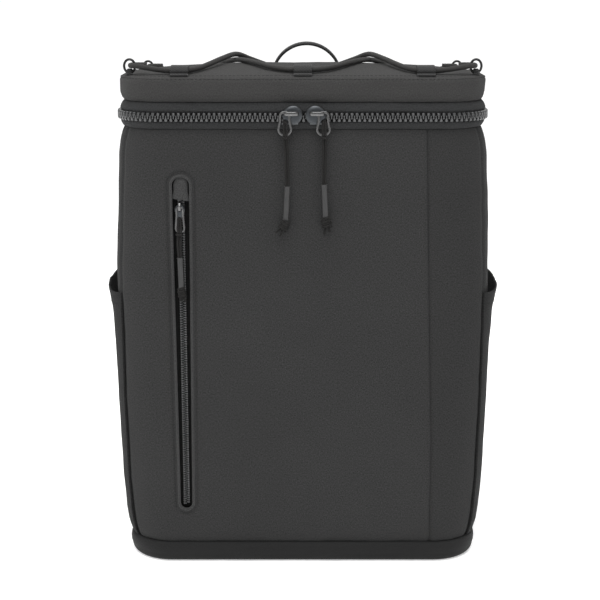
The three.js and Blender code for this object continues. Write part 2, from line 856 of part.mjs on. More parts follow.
function pullCords() {
  const main = (route) => route.map(([x, drop]) => at(x, pullerY, pullerFootZ - drop));
  pullCord('left', main(leftCordRoute), [3, 5], 18);
  pullCord('right', main(rightCordRoute), [3, 5], -6);
  const route = pocketCordRoute.map(([x, drop]) => at(x, pocketPullerY, pocketPullerFootZ - drop));
  pullCord('pocket', route, [2, 4], 0);
}

// Side pockets: a cloth wall that stands away from the tub's side towards its mouth

function pocketPath(gape, inset, z) {
  const onSide = 6;
  const sideX = halfWidth + sideSwell(z);
  const plan = [];
  for (let i = 0; i < onSide; i++) {
    const y = pocketRearY + (-(halfDepth - cornerRadius) - pocketRearY) * i / onSide;
    plan.push({ x: -sideX, y, nx: -1, ny: 0 });
  }
  const frontTurn = 90 - cornerSeamTurn;
  for (let i = 0; i <= 4; i++) {
    const turn = radians(180 + frontTurn * i / 4);
    const nx = Math.cos(turn);
    const ny = Math.sin(turn);
    const x = -(sideX - cornerRadius) + cornerRadius * nx;
    plan.push({ x, y: -(halfDepth - cornerRadius) + cornerRadius * ny, nx, ny });
  }
  return plan.map(({ x, y, nx, ny }, i) => {
    const share = i / (plan.length - 1);
    const off = seatGap + pocketWall + gape * Math.sin(Math.PI * share) ** 0.7 - inset;
    return at(x + nx * off, y + ny * off, z);
  });
}

function sidePockets() {
  const foot = baseHeight + seatGap;
  const height = pocketHeight - foot;
  const mouth = pocketProfile
    .filter((row) => row.rise > 0.7)
    .map((row) => ({ inset: 0, z: foot + row.rise * height }));
  const rows = [...bodyRows().filter((row) => row.z < mouth[0].z), ...mouth];
  const rings = rows.map(({ inset, z }) => {
    const gape = valueAt(pocketProfile, (z - foot) / height, 'gape') * pocketGape;
    const outer = pocketPath(gape, inset, z);
    const inner = pocketPath(gape, inset + pocketWall, z);
    return [...outer, ...inner.reverse()];
  });
  const left = solidFromRings(rings, bandFaces);
  piece('left_side_pocket', left, fabric());
  piece('right_side_pocket', mirroredX(left), fabric());
}

// Lid: webbing loops, corner rings on their tabs, and two bungee cords

// A loop's route over the lid, whose feet follow its surface
function archPath(x, y, span, foot, height, thickness) {
  const low = thickness / 2;
  const high = height + thickness / 2;
  const half = span / 2 + thickness / 2;
  const rows = [
    [-half - foot, low], [-half, low], [-half, high * 0.6], [-half * 0.7, high],
    [half * 0.7, high], [half, high * 0.6], [half, low], [half + foot, low],
  ];
  return rows.map(([along, up]) => at(x, y + along, lidSurface(x, y + along) + seatGap + up)).reverse();
}

function webbingLoops() {
  for (const row of ['front', 'back']) {
    const y = row === 'front' ? -loopRowY : loopRowY;
    for (const column of [-1, 0, 1]) {
      const path = archPath(column * loopSpacing, y, loopSpan, loopFoot, loopHeight, loopThickness);
      const loop = ribbon(path, loopWidth, loopThickness, at(1, 0, 0));
      piece(`${row}_webbing_loop_${column + 2}`, loop, webbing());
    }
  }
}

function cornerRings() {
  const tabHeight = ringWire + 4 * seatGap;
  for (const depth of [-1, 1]) {
    for (const side of [-1, 1]) {
      const name = `${depth < 0 ? 'front' : 'back'}_${side < 0 ? 'left' : 'right'}`;
      const x = side * ringX;
      const y = depth * ringY;
      const centreZ = lidSurface(x, y) + 2 * seatGap + ringHeight / 2;
      piece(`${name}_ring`, ovalRing(), ringMetal()).position.set(x, y, centreZ);
      const path = archPath(x, y, ringWire + 2 * seatGap, 3, tabHeight, loopThickness);
      piece(`${name}_ring_tab`, ribbon(path, ringTabWidth, loopThickness, at(1, 0, 0)), webbing());
    }
  }
}

function ovalRing() {
  const around = 16;
  const section = 6;
  const ringsAround = [];
  for (let i = 0; i < around; i++) {
    const turn = 2 * Math.PI * i / around;
    const across = Math.cos(turn) * (ringWidth - ringWire) / 2;
    const middle = at(across, 0, Math.sin(turn) * (ringHeight - ringWire) / 2);
    const outward = at(Math.cos(turn), 0, Math.sin(turn));
    const ring = [];
    for (let k = 0; k < section; k++) {
      const spin = 2 * Math.PI * k / section;
      ring.push(middle.clone()
        .addScaledVector(outward, Math.cos(spin) * ringWire / 2)
        .add(at(0, Math.sin(spin) * ringWire / 2, 0)));
    }
    ringsAround.push(ring);
  }
  const positions = ringsAround.flat().flatMap((p) => [p.x, p.y, p.z]);
  const faces = [];
  for (let i = 0; i < around; i++) {
    for (let k = 0; k < section; k++) {
      const a = i * section + k;
      const b = i * section + (k + 1) % section;
      const c = ((i + 1) % around) * section + (k + 1) % section;
      const d = ((i + 1) % around) * section + k;
      faces.push(a, b, c, a, c, d);
    }
  }
  return geometryFrom(positions, faces);
}

// Half of a bungee cord, from its tail round a corner ring to the middle loop of the far row.
// Points are chosen by hand: X, Y on the ring's side of the lid, and height above its surface.
const bungeeEnd = [
  [-129, -68.2, 7], [-134, -68.3, 7.3], [-138.5, -68.4, 7.5], [-141.1, -69.4, 7.6],
  [-142.2, -72, 7.6], [-141.1, -74.6, 7.6], [-138.5, -75.7, 7.5], [-131, -77.1, 6.2],
  [-120, -79.2, 4.4], [-109, -80, 3.1], [-101, -80, 2.9], [-94, -79, 3.1], [-87, -72, 3.3],
  [-78, -52, 3.9], [-69, -28, 5.2],
];
const bungeeBeyond = [
  [-47, 28, 5], [-35, 52, 3.6], [-22, 72, 3.1], [-10, 79, 3.1], [0, 80, 2.9],
];
const crossingX = -58;
const upperCrossing = 7.4;
const lowerCrossing = 2.6;

// Where the cord is the lower of the two, it lies close to the lid on its way to the crossing
function bungeeHalf(flip, crossing) {
  const lift = (up) => Math.min(up, 3 + (up - 3) * (crossing - 3) / (upperCrossing - 3));
  const place = ([x, y, up]) => at(x, flip * y, lidSurface(x, flip * y) + (x > -92 ? lift(up) : up));
  const crossed = at(crossingX, 0, lidSurface(crossingX, 0) + crossing);
  return [...bungeeEnd.map(place), crossed, ...bungeeBeyond.map(place)];
}

function bungeeCords() {
  const cords = [['bungee_cord_upper', 1, upperCrossing], ['bungee_cord_lower', -1, lowerCrossing]];
  for (const [name, flip, crossing] of cords) {
    const left = bungeeHalf(flip, crossing);
    const right = left.slice(0, -1).map((p) => at(-p.x, p.y, p.z)).reverse();
    piece(name, cordThrough([...left, ...right], bungeeDiameter, 7, 2), cordCloth());
  }
}

// Back panel and harness, plain, behind the tub

function backPanel() {
  const half = halfWidth - backPanelMargin;
  const depth = backPanelThickness / 2;
  const middle = backY + seatGap + depth;
  const rounding = [[0, 1], [0.3, 0.3], [1, 0]];
  const rows = [
    ...rounding.map(([rise, tuck]) => [backPanelBottom + rise * backPanelRound, tuck]),
    ...rounding.map(([rise, tuck]) => [backPanelTop - rise * backPanelRound, tuck]).reverse(),
  ];
  const rings = rows.map(([z, tuck]) => {
    const inset = tuck * backPanelRound * 0.6;
    return roundedRing(0, middle, half - inset, depth - inset * 0.6, backPanelRound * 0.7, 3, z);
  });
  piece('back_panel', solidFromRings(rings), fabric());
}

function strapPoint(row) {
  const x = strapTopX + (strapBottomX - strapTopX) * row.run ** 1.2;
  const z = strapTopZ + (strapBottomZ - strapTopZ) * row.run;
  const y = backPanelFace + seatGap + row.thick * strapThickness / 2 + row.bow * strapBow;
  return at(x, y, z);
}

function shoulderStrap() {
  const centres = strapProfile.map(strapPoint);
  const rings = strapProfile.map((row, i) => {
    const halfX = row.width * strapWidth / 2;
    const halfY = row.thick * strapThickness / 2;
    const before = centres[Math.max(i - 1, 0)];
    const after = centres[Math.min(i + 1, centres.length - 1)];
    const lean = Math.atan2(after.y - before.y, before.z - after.z);
    const flat = roundedRing(0, 0, halfX, halfY, halfY * 0.8, 2, 0);
    return flat.map((p) => at(
      centres[i].x + p.x,
      centres[i].y + p.y * Math.cos(lean),
      centres[i].z + p.y * Math.sin(lean),
    )).reverse();
  });
  return solidFromRings(rings);
}

function harness() {
  const strap = shoulderStrap();
  const end = strapPoint(strapProfile.at(-1));
  const buckleTop = strapBottomZ - seatGap - 2;
  const buckleX = strapBottomX + 2;
  const buckleLow = buckleTop - buckleHeight;
  const slotHalf = webbingWidth / 2 + 1.5;
  const frame = shapeFrom([
    [-buckleWidth / 2, 0], [buckleWidth / 2, 0],
    [buckleWidth / 2, buckleHeight], [-buckleWidth / 2, buckleHeight],
  ]);
  const slotHeight = 3.4;
  for (const low of [4, buckleHeight - 4 - slotHeight]) {
    frame.holes.push(new THREE.Path([[-slotHalf, low], [slotHalf, low],
      [slotHalf, low + slotHeight], [-slotHalf, low + slotHeight]]
      .map(([x, y]) => new THREE.Vector2(x, y))));
  }
  const buckle = prismXZ(frame, 0, buckleThickness);
  buckle.translate(buckleX, end.y - buckleThickness / 2, buckleLow);
  const anchorY = backPanelFace + seatGap;
  const tab = shapeFrom([
    [-anchorWidth / 2, 0], [anchorWidth / 2, 0],
    [anchorWidth * 0.38, anchorHeight], [-anchorWidth * 0.38, anchorHeight],
  ]);
  const anchor = prismXZ(tab, anchorY, anchorY + anchorThickness);
  anchor.translate(anchorX, 0, anchorZ);
  const webY = anchorY + anchorThickness + seatGap + webbingThickness / 2;
  const path = [
    at(buckleX + 1, end.y, buckleLow - seatGap),
    at(buckleX + 8, end.y - 1.5, buckleLow - 14),
    at(anchorX - 4, webY + 1, anchorZ + anchorHeight + 4),
    at(anchorX - 1, webY, anchorZ + anchorHeight - 4),
    at(anchorX, webY, anchorZ + 6),
  ];
  const strapWebbing = ribbon(path, webbingWidth, webbingThickness, at(1, 0, 0));
  const pieces = [
    ['shoulder_strap', strap, fabric], ['strap_buckle', buckle, bucklePlastic],
    ['strap_webbing', strapWebbing, webbing], ['strap_anchor', anchor, webbing],
  ];
  for (const [name, geometry, material] of pieces) {
    piece(`right_${name}`, geometry, material());
    piece(`left_${name}`, mirroredX(geometry), material());
  }
}

function haulHandle() {
  const y = backY + 2 * seatGap + handleWidth / 2;
  const centreZ = handleTop - handleRadius;
  const radius = handleRadius - handleThickness / 2;
  const foot = backPanelTop + seatGap;
  const path = [at(handleX + radius, y, foot), at(handleX + radius, y, (foot + centreZ) / 2)];
  for (let i = 0; i <= 12; i++) {
    const turn = Math.PI * i / 12;
    path.push(at(handleX + radius * Math.cos(turn), y, centreZ + radius * Math.sin(turn)));
  }
  path.push(at(handleX - radius, y, (foot + centreZ) / 2), at(handleX - radius, y, foot));
  piece('haul_handle', ribbon(path, handleWidth, handleThickness, at(0, 1, 0)), webbing());
}

basePanel();
insulatedTub();
lid();
zipBand();
frontPanels();
pocketZip();
pocketGarage();
mainPullers();
pocketPuller();
pullCords();
sidePockets();
webbingLoops();
cornerRings();
bungeeCords();
backPanel();
harness();
haulHandle();

// The whole stands on Z = 0, with the box of all but the loose pull cords centred on X and Y
const box = new THREE.Box3();
for (const mesh of bag.children) {
  if (!mesh.name.includes('_pull_')) box.expandByObject(mesh);
}
const middle = box.getCenter(new THREE.Vector3());
bag.position.set(-middle.x, -middle.y, -box.min.z);

export default bag;
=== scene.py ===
import math

import bpy
import numpy as np
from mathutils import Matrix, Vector
from mathutils.geometry import delaunay_2d_cdt


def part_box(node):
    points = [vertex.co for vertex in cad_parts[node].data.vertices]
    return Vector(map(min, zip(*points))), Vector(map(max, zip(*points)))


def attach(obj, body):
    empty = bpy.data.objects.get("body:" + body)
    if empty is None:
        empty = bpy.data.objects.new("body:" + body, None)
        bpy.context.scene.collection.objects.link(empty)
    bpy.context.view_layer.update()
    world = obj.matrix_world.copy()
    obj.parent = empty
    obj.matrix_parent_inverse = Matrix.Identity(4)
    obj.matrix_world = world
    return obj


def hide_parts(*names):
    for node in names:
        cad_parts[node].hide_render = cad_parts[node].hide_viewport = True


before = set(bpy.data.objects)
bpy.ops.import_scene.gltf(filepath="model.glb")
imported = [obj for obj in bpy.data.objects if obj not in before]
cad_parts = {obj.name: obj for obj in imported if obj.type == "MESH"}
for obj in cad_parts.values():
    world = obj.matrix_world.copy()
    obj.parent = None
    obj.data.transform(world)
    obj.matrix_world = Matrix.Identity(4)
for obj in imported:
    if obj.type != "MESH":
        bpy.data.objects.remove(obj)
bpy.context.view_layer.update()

# A soft-sided cooler backpack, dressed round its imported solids. Lengths are millimetres in the
# bag's own frame, centred on its body, until a mesh is made in metres.

MM = 0.001


def node_box(name):
    low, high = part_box(name)
    return np.array(low) / MM, np.array(high) / MM


# Sizes read from the frame
base_low, base_high = node_box("base_panel")
lid_low, lid_high = node_box("lid")
tub_low, tub_high = node_box("insulated_tub")
chain_low, chain_high = node_box("zip_chain")
garage_low = node_box("pocket_zip_garage")[0]
slot_low = node_box("pocket_zip_tape")[0]
puller_low, puller_high = node_box("left_puller")
pocket_puller_low, pocket_puller_high = node_box("pocket_puller")

SHIFT = np.array([(base_low[0] + base_high[0]) / 2, (base_low[1] + base_high[1]) / 2, 0])
HALF_WIDTH = (lid_high[0] - lid_low[0]) / 2
HALF_DEPTH = (lid_high[1] - lid_low[1]) / 2
BODY_TOP = tub_high[2]
BASE_TOP = base_high[2]
LID_BOTTOM = lid_low[2]
LID_TOP = LID_BOTTOM + 20.2
CHAIN_Z = (chain_low[2] + chain_high[2]) / 2
FRONT = -HALF_DEPTH
BACK = HALF_DEPTH

# Sizes shared with the solids
CORNER = 38.0
WALL = 8.0
SEAM_TURN = 57.0
PANEL = 2.0
POCKET_SPACE = 3.2
SLOT_X = -101.0
SLOT_TOP = 341.0
SLOT_BOTTOM = 50.0
SLOT_TOP_WIDTH = 14.6
SLOT_BOTTOM_WIDTH = 10.4
SLOT_HEAD_Z = SLOT_TOP - SLOT_TOP_WIDTH / 2
SLOT_FOOT_Z = SLOT_BOTTOM + SLOT_BOTTOM_WIDTH / 2
BAND_END_Y = 70.0
SEAT = 0.3
SIDE_NAMES = {-1: "left", 1: "right"}
ROW_NAMES = {-1: "front", 1: "back"}

# Camera, matched to the photograph: place in the bag's frame, tilt and field of view
CAMERA_PLACE = (-2.3, -1245.5, 509.4)
CAMERA_TILT = 13.34
FOCAL_PIXELS = 1405.5
FRAME_PIXELS = 600
SENSOR = 36.0


def metres(points):
    return (np.asarray(points, float) + SHIFT) * MM


def make_camera():
    data = bpy.data.cameras.new("photo_camera")
    data.sensor_width = SENSOR
    data.lens = FOCAL_PIXELS * SENSOR / FRAME_PIXELS
    data.clip_start, data.clip_end = 0.05, 200
    camera = bpy.data.objects.new("photo_camera", data)
    bpy.context.scene.collection.objects.link(camera)
    camera.location = metres(CAMERA_PLACE)
    camera.rotation_euler = (math.radians(90 - CAMERA_TILT), 0, 0)
    bpy.context.scene.camera = camera


make_camera()


# Small mathematics

def smooth(x):
    x = np.clip(x, 0, 1)
    return x * x * (3 - 2 * x)


def unit(v):
    return v / np.maximum(np.linalg.norm(v, axis=-1, keepdims=True), 1e-12)


WAVES = 7


def wobble(points, wavelength, seed):
    """Smooth, even noise of about unit size: a sum of waves in directions drawn from the seed."""
    draw = np.random.default_rng(seed)
    points = np.asarray(points, float)
    total = np.zeros(points.shape[:-1])
    for _ in range(WAVES):
        direction = unit(draw.normal(size=points.shape[-1]))
        length = wavelength * draw.uniform(0.7, 1.6)
        phase = draw.uniform(0, 2 * math.pi)
        total += np.sin(points @ direction * 2 * math.pi / length + phase)
    return total / math.sqrt(WAVES)


def bell(distance, width):
    return np.exp(-(np.asarray(distance) / width) ** 2)


def catmull(points, steps):
    """A smooth curve through chosen points, with even steps in each span."""
    p = np.asarray(points, float)
    p = np.vstack([2 * p[0] - p[1], p, 2 * p[-1] - p[-2]])
    found = []
    for i in range(1, len(p) - 2):
        a, b, c, d = p[i - 1:i + 3]
        knots = [0.0]
        for q, r in ((a, b), (b, c), (c, d)):
            knots.append(knots[-1] + max(np.linalg.norm(r - q), 1e-6) ** 0.5)
        k0, k1, k2, k3 = knots
        for t in np.linspace(k1, k2, steps, endpoint=False):
            ab = (k1 - t) / (k1 - k0) * a + (t - k0) / (k1 - k0) * b
            bc = (k2 - t) / (k2 - k1) * b + (t - k1) / (k2 - k1) * c
            cd = (k3 - t) / (k3 - k2) * c + (t - k2) / (k3 - k2) * d
            abc = (k2 - t) / (k2 - k0) * ab + (t - k0) / (k2 - k0) * bc
            bcd = (k3 - t) / (k3 - k1) * bc + (t - k1) / (k3 - k1) * cd
            found.append((k2 - t) / (k2 - k1) * abc + (t - k1) / (k2 - k1) * bcd)
    found.append(p[-2])
    return np.array(found)


def lengths_along(path):
    return np.concatenate([[0], np.cumsum(np.linalg.norm(np.diff(path, axis=0), axis=1))])


def evenly(path, step):
    """The same path with points every step or so."""
    along = lengths_along(path)
    count = max(2, int(round(along[-1] / step)) + 1)
    at = np.linspace(0, along[-1], count)
    return np.stack([np.interp(at, along, path[:, k]) for k in range(path.shape[1])], 1)


def tangents(path, closed=False):
    if closed:
        return unit(np.roll(path, -1, 0) - np.roll(path, 1, 0))
    return unit(np.gradient(path, axis=0))


# Parts: closed shells of points, faces and one UV pair for each corner of a face

class Part:
    def __init__(self, points, faces, uvs):
        self.points = np.asarray(points, float).reshape(-1, 3)
        self.faces = faces
        self.uvs = uvs
        if self.volume() < 0:
            self.faces = [f[::-1] for f in self.faces]
            self.uvs = [u[::-1] for u in self.uvs]

    def volume(self):
        total = 0.0
        by_size = {}
        for f in self.faces:
            by_size.setdefault(len(f), []).append(f)
        for size, group in by_size.items():
            corners = self.points[np.array(group)]
            for k in range(1, size - 1):
                a, b, c = corners[:, 0], corners[:, k], corners[:, k + 1]
                total += np.einsum("ij,ij->", a, np.cross(b, c))
        return total / 6


def grid_uv(points, wrap):
    """Metric UVs of a grid: the way along its middle row and up its middle column."""
    rows, columns = points.shape[:2]
    row = points[rows // 2]
    if wrap:
        row = np.vstack([row, row[:1]])
    across = lengths_along(row)
    up = lengths_along(points[:, columns // 4])
    u, v = np.meshgrid(across, up)
    return np.stack([u, v], -1)


def grid_part(points, wrap=True, caps=True, uv=None, band=False, closed=False):
    """A shell from a grid of points. Columns close on themselves with wrap, and rows with closed.
    Caps are single faces, or strips across the band where the section is thin and bent."""
    points = np.asarray(points, float)
    rows, columns = points.shape[:2]
    if closed:
        points = np.concatenate([points, points[:1]])
        rows += 1
    uv = grid_uv(points, wrap) if uv is None else uv
    width = columns if wrap else columns - 1
    r, c = np.meshgrid(np.arange(rows - 1), np.arange(width), indexing="ij")
    n = (c + 1) % columns
    up = (r + 1) % (rows - 1) if closed else r + 1
    quads = np.stack([r * columns + c, r * columns + n, up * columns + n, up * columns + c], -1)
    corners = np.stack([uv[r, c], uv[r, c + 1], uv[r + 1, c + 1], uv[r + 1, c]], 2)
    faces = quads.reshape(-1, 4).tolist()
    uvs = corners.reshape(-1, 4, 2).tolist()
    if closed:
        points = points[:-1]
    if caps and wrap and not closed:
        for start, turned in ((0, True), ((rows - 1) * columns, False)):
            ring = list(range(start, start + columns))
            if band:
                half = columns // 2
                strips = [[ring[i], ring[i + 1], ring[columns - 2 - i], ring[columns - 1 - i]]
                          for i in range(half - 1)]
            else:
                strips = [ring]
            for face in strips:
                face = face[::-1] if turned else face
                flat = points.reshape(-1, 3)[face]
                spread = np.argsort(-np.ptp(flat, axis=0))[:2]
                faces.append(face)
                uvs.append(flat[:, sorted(spread)].tolist())
    return Part(points.reshape(-1, 3), faces, uvs)


def slab_part(front, back, uv=None):
    """A sheet with thickness from two grids of the same size."""
    rings = np.concatenate([front, back[:, ::-1]], axis=1)
    if uv is not None:
        uv = np.concatenate([uv, uv[:, ::-1], uv[:, :1]], axis=1)
    return grid_part(rings, wrap=True, caps=True, uv=uv, band=True)


def sweep_part(path, section, sides, ups, closed=False):
    """A section of side and up offsets carried along a path."""
    section = np.asarray(section, float)
    if section.ndim == 2:
        section = np.broadcast_to(section, (len(path), *section.shape))
    rings = (path[:, None] + section[:, :, :1] * sides[:, None] + section[:, :, 1:] * ups[:, None])
    return grid_part(rings, closed=closed)


def carried_frames(path, guide):
    """Side and up directions that turn as little as the path allows."""
    along = tangents(path)
    sides = np.zeros_like(path)
    side = np.asarray(guide, float)
    for i, t in enumerate(along):
        side = unit(side - t * (side @ t))
        sides[i] = side
    return sides, np.cross(along, sides)


def fixed_frames(path, side, closed=False):
    """Side stays one direction; up is square to it and to the path."""
    along = tangents(path, closed)
    sides = np.broadcast_to(np.asarray(side, float), path.shape)
    return sides, unit(np.cross(along, sides))


def circle(radius, count):
    turn = np.linspace(0, 2 * math.pi, count, endpoint=False)
    return np.stack([np.cos(turn), np.sin(turn)], 1) * radius


def tube_part(path, radius, sides=10, guide=(0, 0, 1), closed=False):
    if closed:
        side, up = fixed_frames(path, guide, closed=True)
        side = unit(np.cross(up, tangents(path, True)))
    else:
        side, up = carried_frames(path, guide)
    return sweep_part(path, circle(radius, sides), side, up, closed)


def rounded_box_section(width, height, radius):
    """Offsets round a rounded rectangle."""
    steps = 3
    radius = min(radius, width / 2, height / 2)
    found = []
    for sx, sy, start in ((1, 1, 0), (-1, 1, 90), (-1, -1, 180), (1, -1, 270)):
        for i in range(steps + 1):
            turn = math.radians(start + 90 * i / steps)
            found.append((sx * (width / 2 - radius) + radius * math.cos(turn),
                          sy * (height / 2 - radius) + radius * math.sin(turn)))
    return np.array(found)


def piece(name, parts, material, replaces=(), sharp=38.0):
    """One named piece from its parts, riding on the bag, in metres."""
    parts = parts if isinstance(parts, list) else [parts]
    start = 0
    points, faces, uvs = [], [], []
    for part in parts:
        points.append(part.points)
        faces += [[i + start for i in f] for f in part.faces]
        for u in part.uvs:
            uvs += u
        start += len(part.points)
    mesh = bpy.data.meshes.new(name)
    mesh.from_pydata(metres(np.concatenate(points)).tolist(), [], faces)
    layer = mesh.uv_layers.new(name="cloth")
    layer.uv.foreach_set("vector", (np.array(uvs, np.float32) * MM).ravel())
    mesh.polygons.foreach_set("use_smooth", np.ones(len(mesh.polygons), bool))
    mesh.set_sharp_from_angle(angle=math.radians(sharp))
    mesh.materials.append(material)
    mesh.update()
    made = bpy.data.objects.new(name, mesh)
    bpy.context.scene.collection.objects.link(made)
    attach(made, "root")
    if replaces:
        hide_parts(*replaces)
    return made


# Materials

def shader(name, **sockets):
    material = bpy.data.materials.new(name)
    material.use_nodes = True
    bsdf = material.node_tree.nodes["Principled BSDF"]
    for key, value in sockets.items():
        bsdf.inputs[key.replace("_", " ")].default_value = value
    return material, material.node_tree, bsdf


def math_node(tree, operation, *operands):
    node = tree.nodes.new("ShaderNodeMath")
    node.operation = operation
    for socket, value in zip(node.inputs, operands):
        if isinstance(value, (int, float)):
            socket.default_value = value
        else:
            tree.links.new(value, socket)
    return node.outputs[0]


def noise_node(tree, vector, scale, detail=3.0, roughness=0.55):
    node = tree.nodes.new("ShaderNodeTexNoise")
    node.inputs["Scale"].default_value = scale
    node.inputs["Detail"].default_value = detail
    node.inputs["Roughness"].default_value = roughness
    tree.links.new(vector, node.inputs["Vector"])
    return node.outputs["Fac"]


def scaled_uv(tree, stretch_u, stretch_v):
    uv = tree.nodes.new("ShaderNodeUVMap")
    uv.uv_map = "cloth"
    mapping = tree.nodes.new("ShaderNodeMapping")
    mapping.inputs["Scale"].default_value = (stretch_u, stretch_v, 1)
    tree.links.new(uv.outputs["UV"], mapping.inputs["Vector"])
    return mapping.outputs["Vector"]


def object_coordinates(tree):
    return tree.nodes.new("ShaderNodeTexCoord").outputs["Object"]


def ramp_node(tree, factor, stops):
    node = tree.nodes.new("ShaderNodeValToRGB")
    elements = node.color_ramp.elements
    while len(elements) < len(stops):
        elements.new(0.5)
    for element, (place, colour) in zip(elements, stops):
        element.position = place
        element.color = (*colour, 1)
    tree.links.new(factor, node.inputs["Fac"])
    return node.outputs["Color"]


def bump_node(tree, height, distance, strength):
    node = tree.nodes.new("ShaderNodeBump")
    node.inputs["Strength"].default_value = strength
    node.inputs["Distance"].default_value = distance
    tree.links.new(height, node.inputs["Height"])
    return node.outputs["Normal"]


def finish(tree, bsdf, colour, height, distance, strength):
    """The colour and the relief of a material, on its shader."""
    tree.links.new(colour, bsdf.inputs["Base Color"])
    tree.links.new(bump_node(tree, height, distance, strength), bsdf.inputs["Normal"])


def components(tree, vector):
    node = tree.nodes.new("ShaderNodeSeparateXYZ")
    tree.links.new(vector, node.inputs[0])
    return node.outputs


def thread_heights(tree, pitch_u, pitch_v):
    """A plain weave: threads pass over each other by turns."""
    u, v, _ = components(tree, scaled_uv(tree, math.pi / (pitch_u * MM), math.pi / (pitch_v * MM)))
    return math_node(tree, "MULTIPLY", math_node(tree, "SINE", u), math_node(tree, "SINE", v))


def grey(value, warm=0.0):
    return (value * (1 + warm), value, value * (1 - warm))


def cloth_material(name, value, warm=0.0, pitch=0.55, fleck=0.22, roughness=0.86, depth=0.00012,
                   sheen=0.03):
    """Woven polyester: plain weave, flecks of lighter and darker yarn, and soft darker patches, part uneven
    wear and part painted shade of the cloth's soft undulations.
    """
    material, tree, bsdf = shader(name, Roughness=roughness, Sheen_Weight=sheen, Sheen_Roughness=0.45,
                                  Specular_IOR_Level=0.12)
    weave = thread_heights(tree, pitch, pitch)
    yarn = noise_node(tree, scaled_uv(tree, 850, 1400), 1.0, 2.0, 0.6)
    cross_yarn = noise_node(tree, scaled_uv(tree, 1700, 700), 1.0, 2.0, 0.6)
    flecks = math_node(tree, "ADD", yarn, cross_yarn)
    # Broad soft patches darken the colour: part uneven wear, part painted shade standing in for the cloth's
    # soft undulations.
    wear = noise_node(tree, object_coordinates(tree), 9.0, 3.0)
    mixed = math_node(tree, "MULTIPLY_ADD", weave, 0.06, math_node(tree, "MULTIPLY", flecks, 0.5))
    low, high = value * (1 - fleck * 2.2), value * (1 + fleck * 2.4)
    colour = ramp_node(tree, mixed, [(0.36, grey(low, warm)), (0.5, grey(value, warm)),
                                     (0.66, grey(high, warm))])
    worn = tree.nodes.new("ShaderNodeMix")
    worn.data_type = "RGBA"
    worn.blend_type = "MULTIPLY"
    worn.inputs["Factor"].default_value = 0.5
    tree.links.new(colour, worn.inputs["A"])
    tree.links.new(ramp_node(tree, wear, [(0.3, grey(0.8)), (0.7, grey(1.0))]), worn.inputs["B"])
    finish(tree, bsdf, worn.outputs["Result"], math_node(tree, "ADD", weave, flecks), depth, 0.9)
    return material


def webbing_material(name, value, rib=1.3):
    """Ribbed webbing: fine ribs across its width and a herringbone of yarn along it."""
    material, tree, bsdf = shader(name, Roughness=0.7, Sheen_Weight=0.15, Sheen_Roughness=0.4,
                                  Specular_IOR_Level=0.35)
    ribs = thread_heights(tree, rib, rib * 0.5)
    yarn = noise_node(tree, scaled_uv(tree, 900, 900), 1.0, 2.0)
    height = math_node(tree, "MULTIPLY_ADD", ribs, 0.6, yarn)
    colour = ramp_node(tree, height, [(0.1, grey(value * 0.6)), (0.5, grey(value)),
                                      (0.95, grey(value * 1.7))])
    finish(tree, bsdf, colour, height, 0.0002, 0.8)
    return material


def metal_material(name, value, cool=0.0, roughness=0.32, wear=0.5):
    """Plated die-cast metal, rubbed brighter on its edges and finely scuffed."""
    material, tree, bsdf = shader(name, Metallic=0.9, Specular_IOR_Level=0.5)
    where = object_coordinates(tree)
    scuff = noise_node(tree, where, 900.0, 4.0, 0.7)
    patch = noise_node(tree, where, 160.0, 2.0)
    edge = tree.nodes.new("ShaderNodeNewGeometry").outputs["Pointiness"]
    worn = math_node(tree, "MULTIPLY_ADD", scuff, 0.06, edge)
    dark = grey(value, -cool)
    rubbed = grey(value + wear * 0.5, -cool * 0.5)
    colour = ramp_node(tree, worn, [(0.5, dark), (0.545, dark), (0.62, rubbed)])
    rough = ramp_node(tree, patch, [(0.3, grey(roughness * 0.85)), (0.7, grey(roughness * 1.25))])
    tree.links.new(rough, bsdf.inputs["Roughness"])
    finish(tree, bsdf, colour, scuff, 0.00002, 0.6)
    return material


def moulded_material(name, value, roughness=0.4, grain=700.0, depth=0.00003, cool=0.0, coat=0.0):
    """Moulded plastic or rubber with a fine grain and faint handling marks."""
    material, tree, bsdf = shader(name, Specular_IOR_Level=0.5, Coat_Weight=coat, Coat_Roughness=0.3)
    where = object_coordinates(tree)
    fine = noise_node(tree, where, grain, 3.0)
    patch = noise_node(tree, where, grain / 9, 3.0)
    colour = ramp_node(tree, patch, [(0.3, grey(value * 0.85, -cool)), (0.7, grey(value * 1.2, -cool))])
    rough = ramp_node(tree, fine, [(0.25, grey(roughness * 0.85)), (0.75, grey(roughness * 1.2))])
    tree.links.new(rough, bsdf.inputs["Roughness"])
    finish(tree, bsdf, colour, fine, depth, 0.6)
    return material


def cord_material(name, value, step, sheen, gloss):
    """Braided sheath: two sets of diagonal strands over each other."""
    warm = 0.03
    material, tree, bsdf = shader(name, Roughness=0.75, Sheen_Weight=sheen, Sheen_Roughness=0.4,
                                  Specular_IOR_Level=gloss)
    turns = 2 * math.pi / (step * MM)
    u, v, _ = components(tree, scaled_uv(tree, turns, turns))
    one = math_node(tree, "SINE", math_node(tree, "ADD", u, v))
    other = math_node(tree, "SINE", math_node(tree, "SUBTRACT", u, v))
    braid = math_node(tree, "MAXIMUM", one, other)
    yarn = noise_node(tree, scaled_uv(tree, 1500, 1500), 1.0, 2.0)
    mixed = math_node(tree, "MULTIPLY_ADD", braid, 0.35, yarn)
    colour = ramp_node(tree, mixed, [(0.1, grey(value * 0.4, warm)), (0.5, grey(value, warm)),
                                     (0.9, grey(value * 1.8, warm))])
    finish(tree, bsdf, colour, mixed, 0.00025, 0.8)
    return material


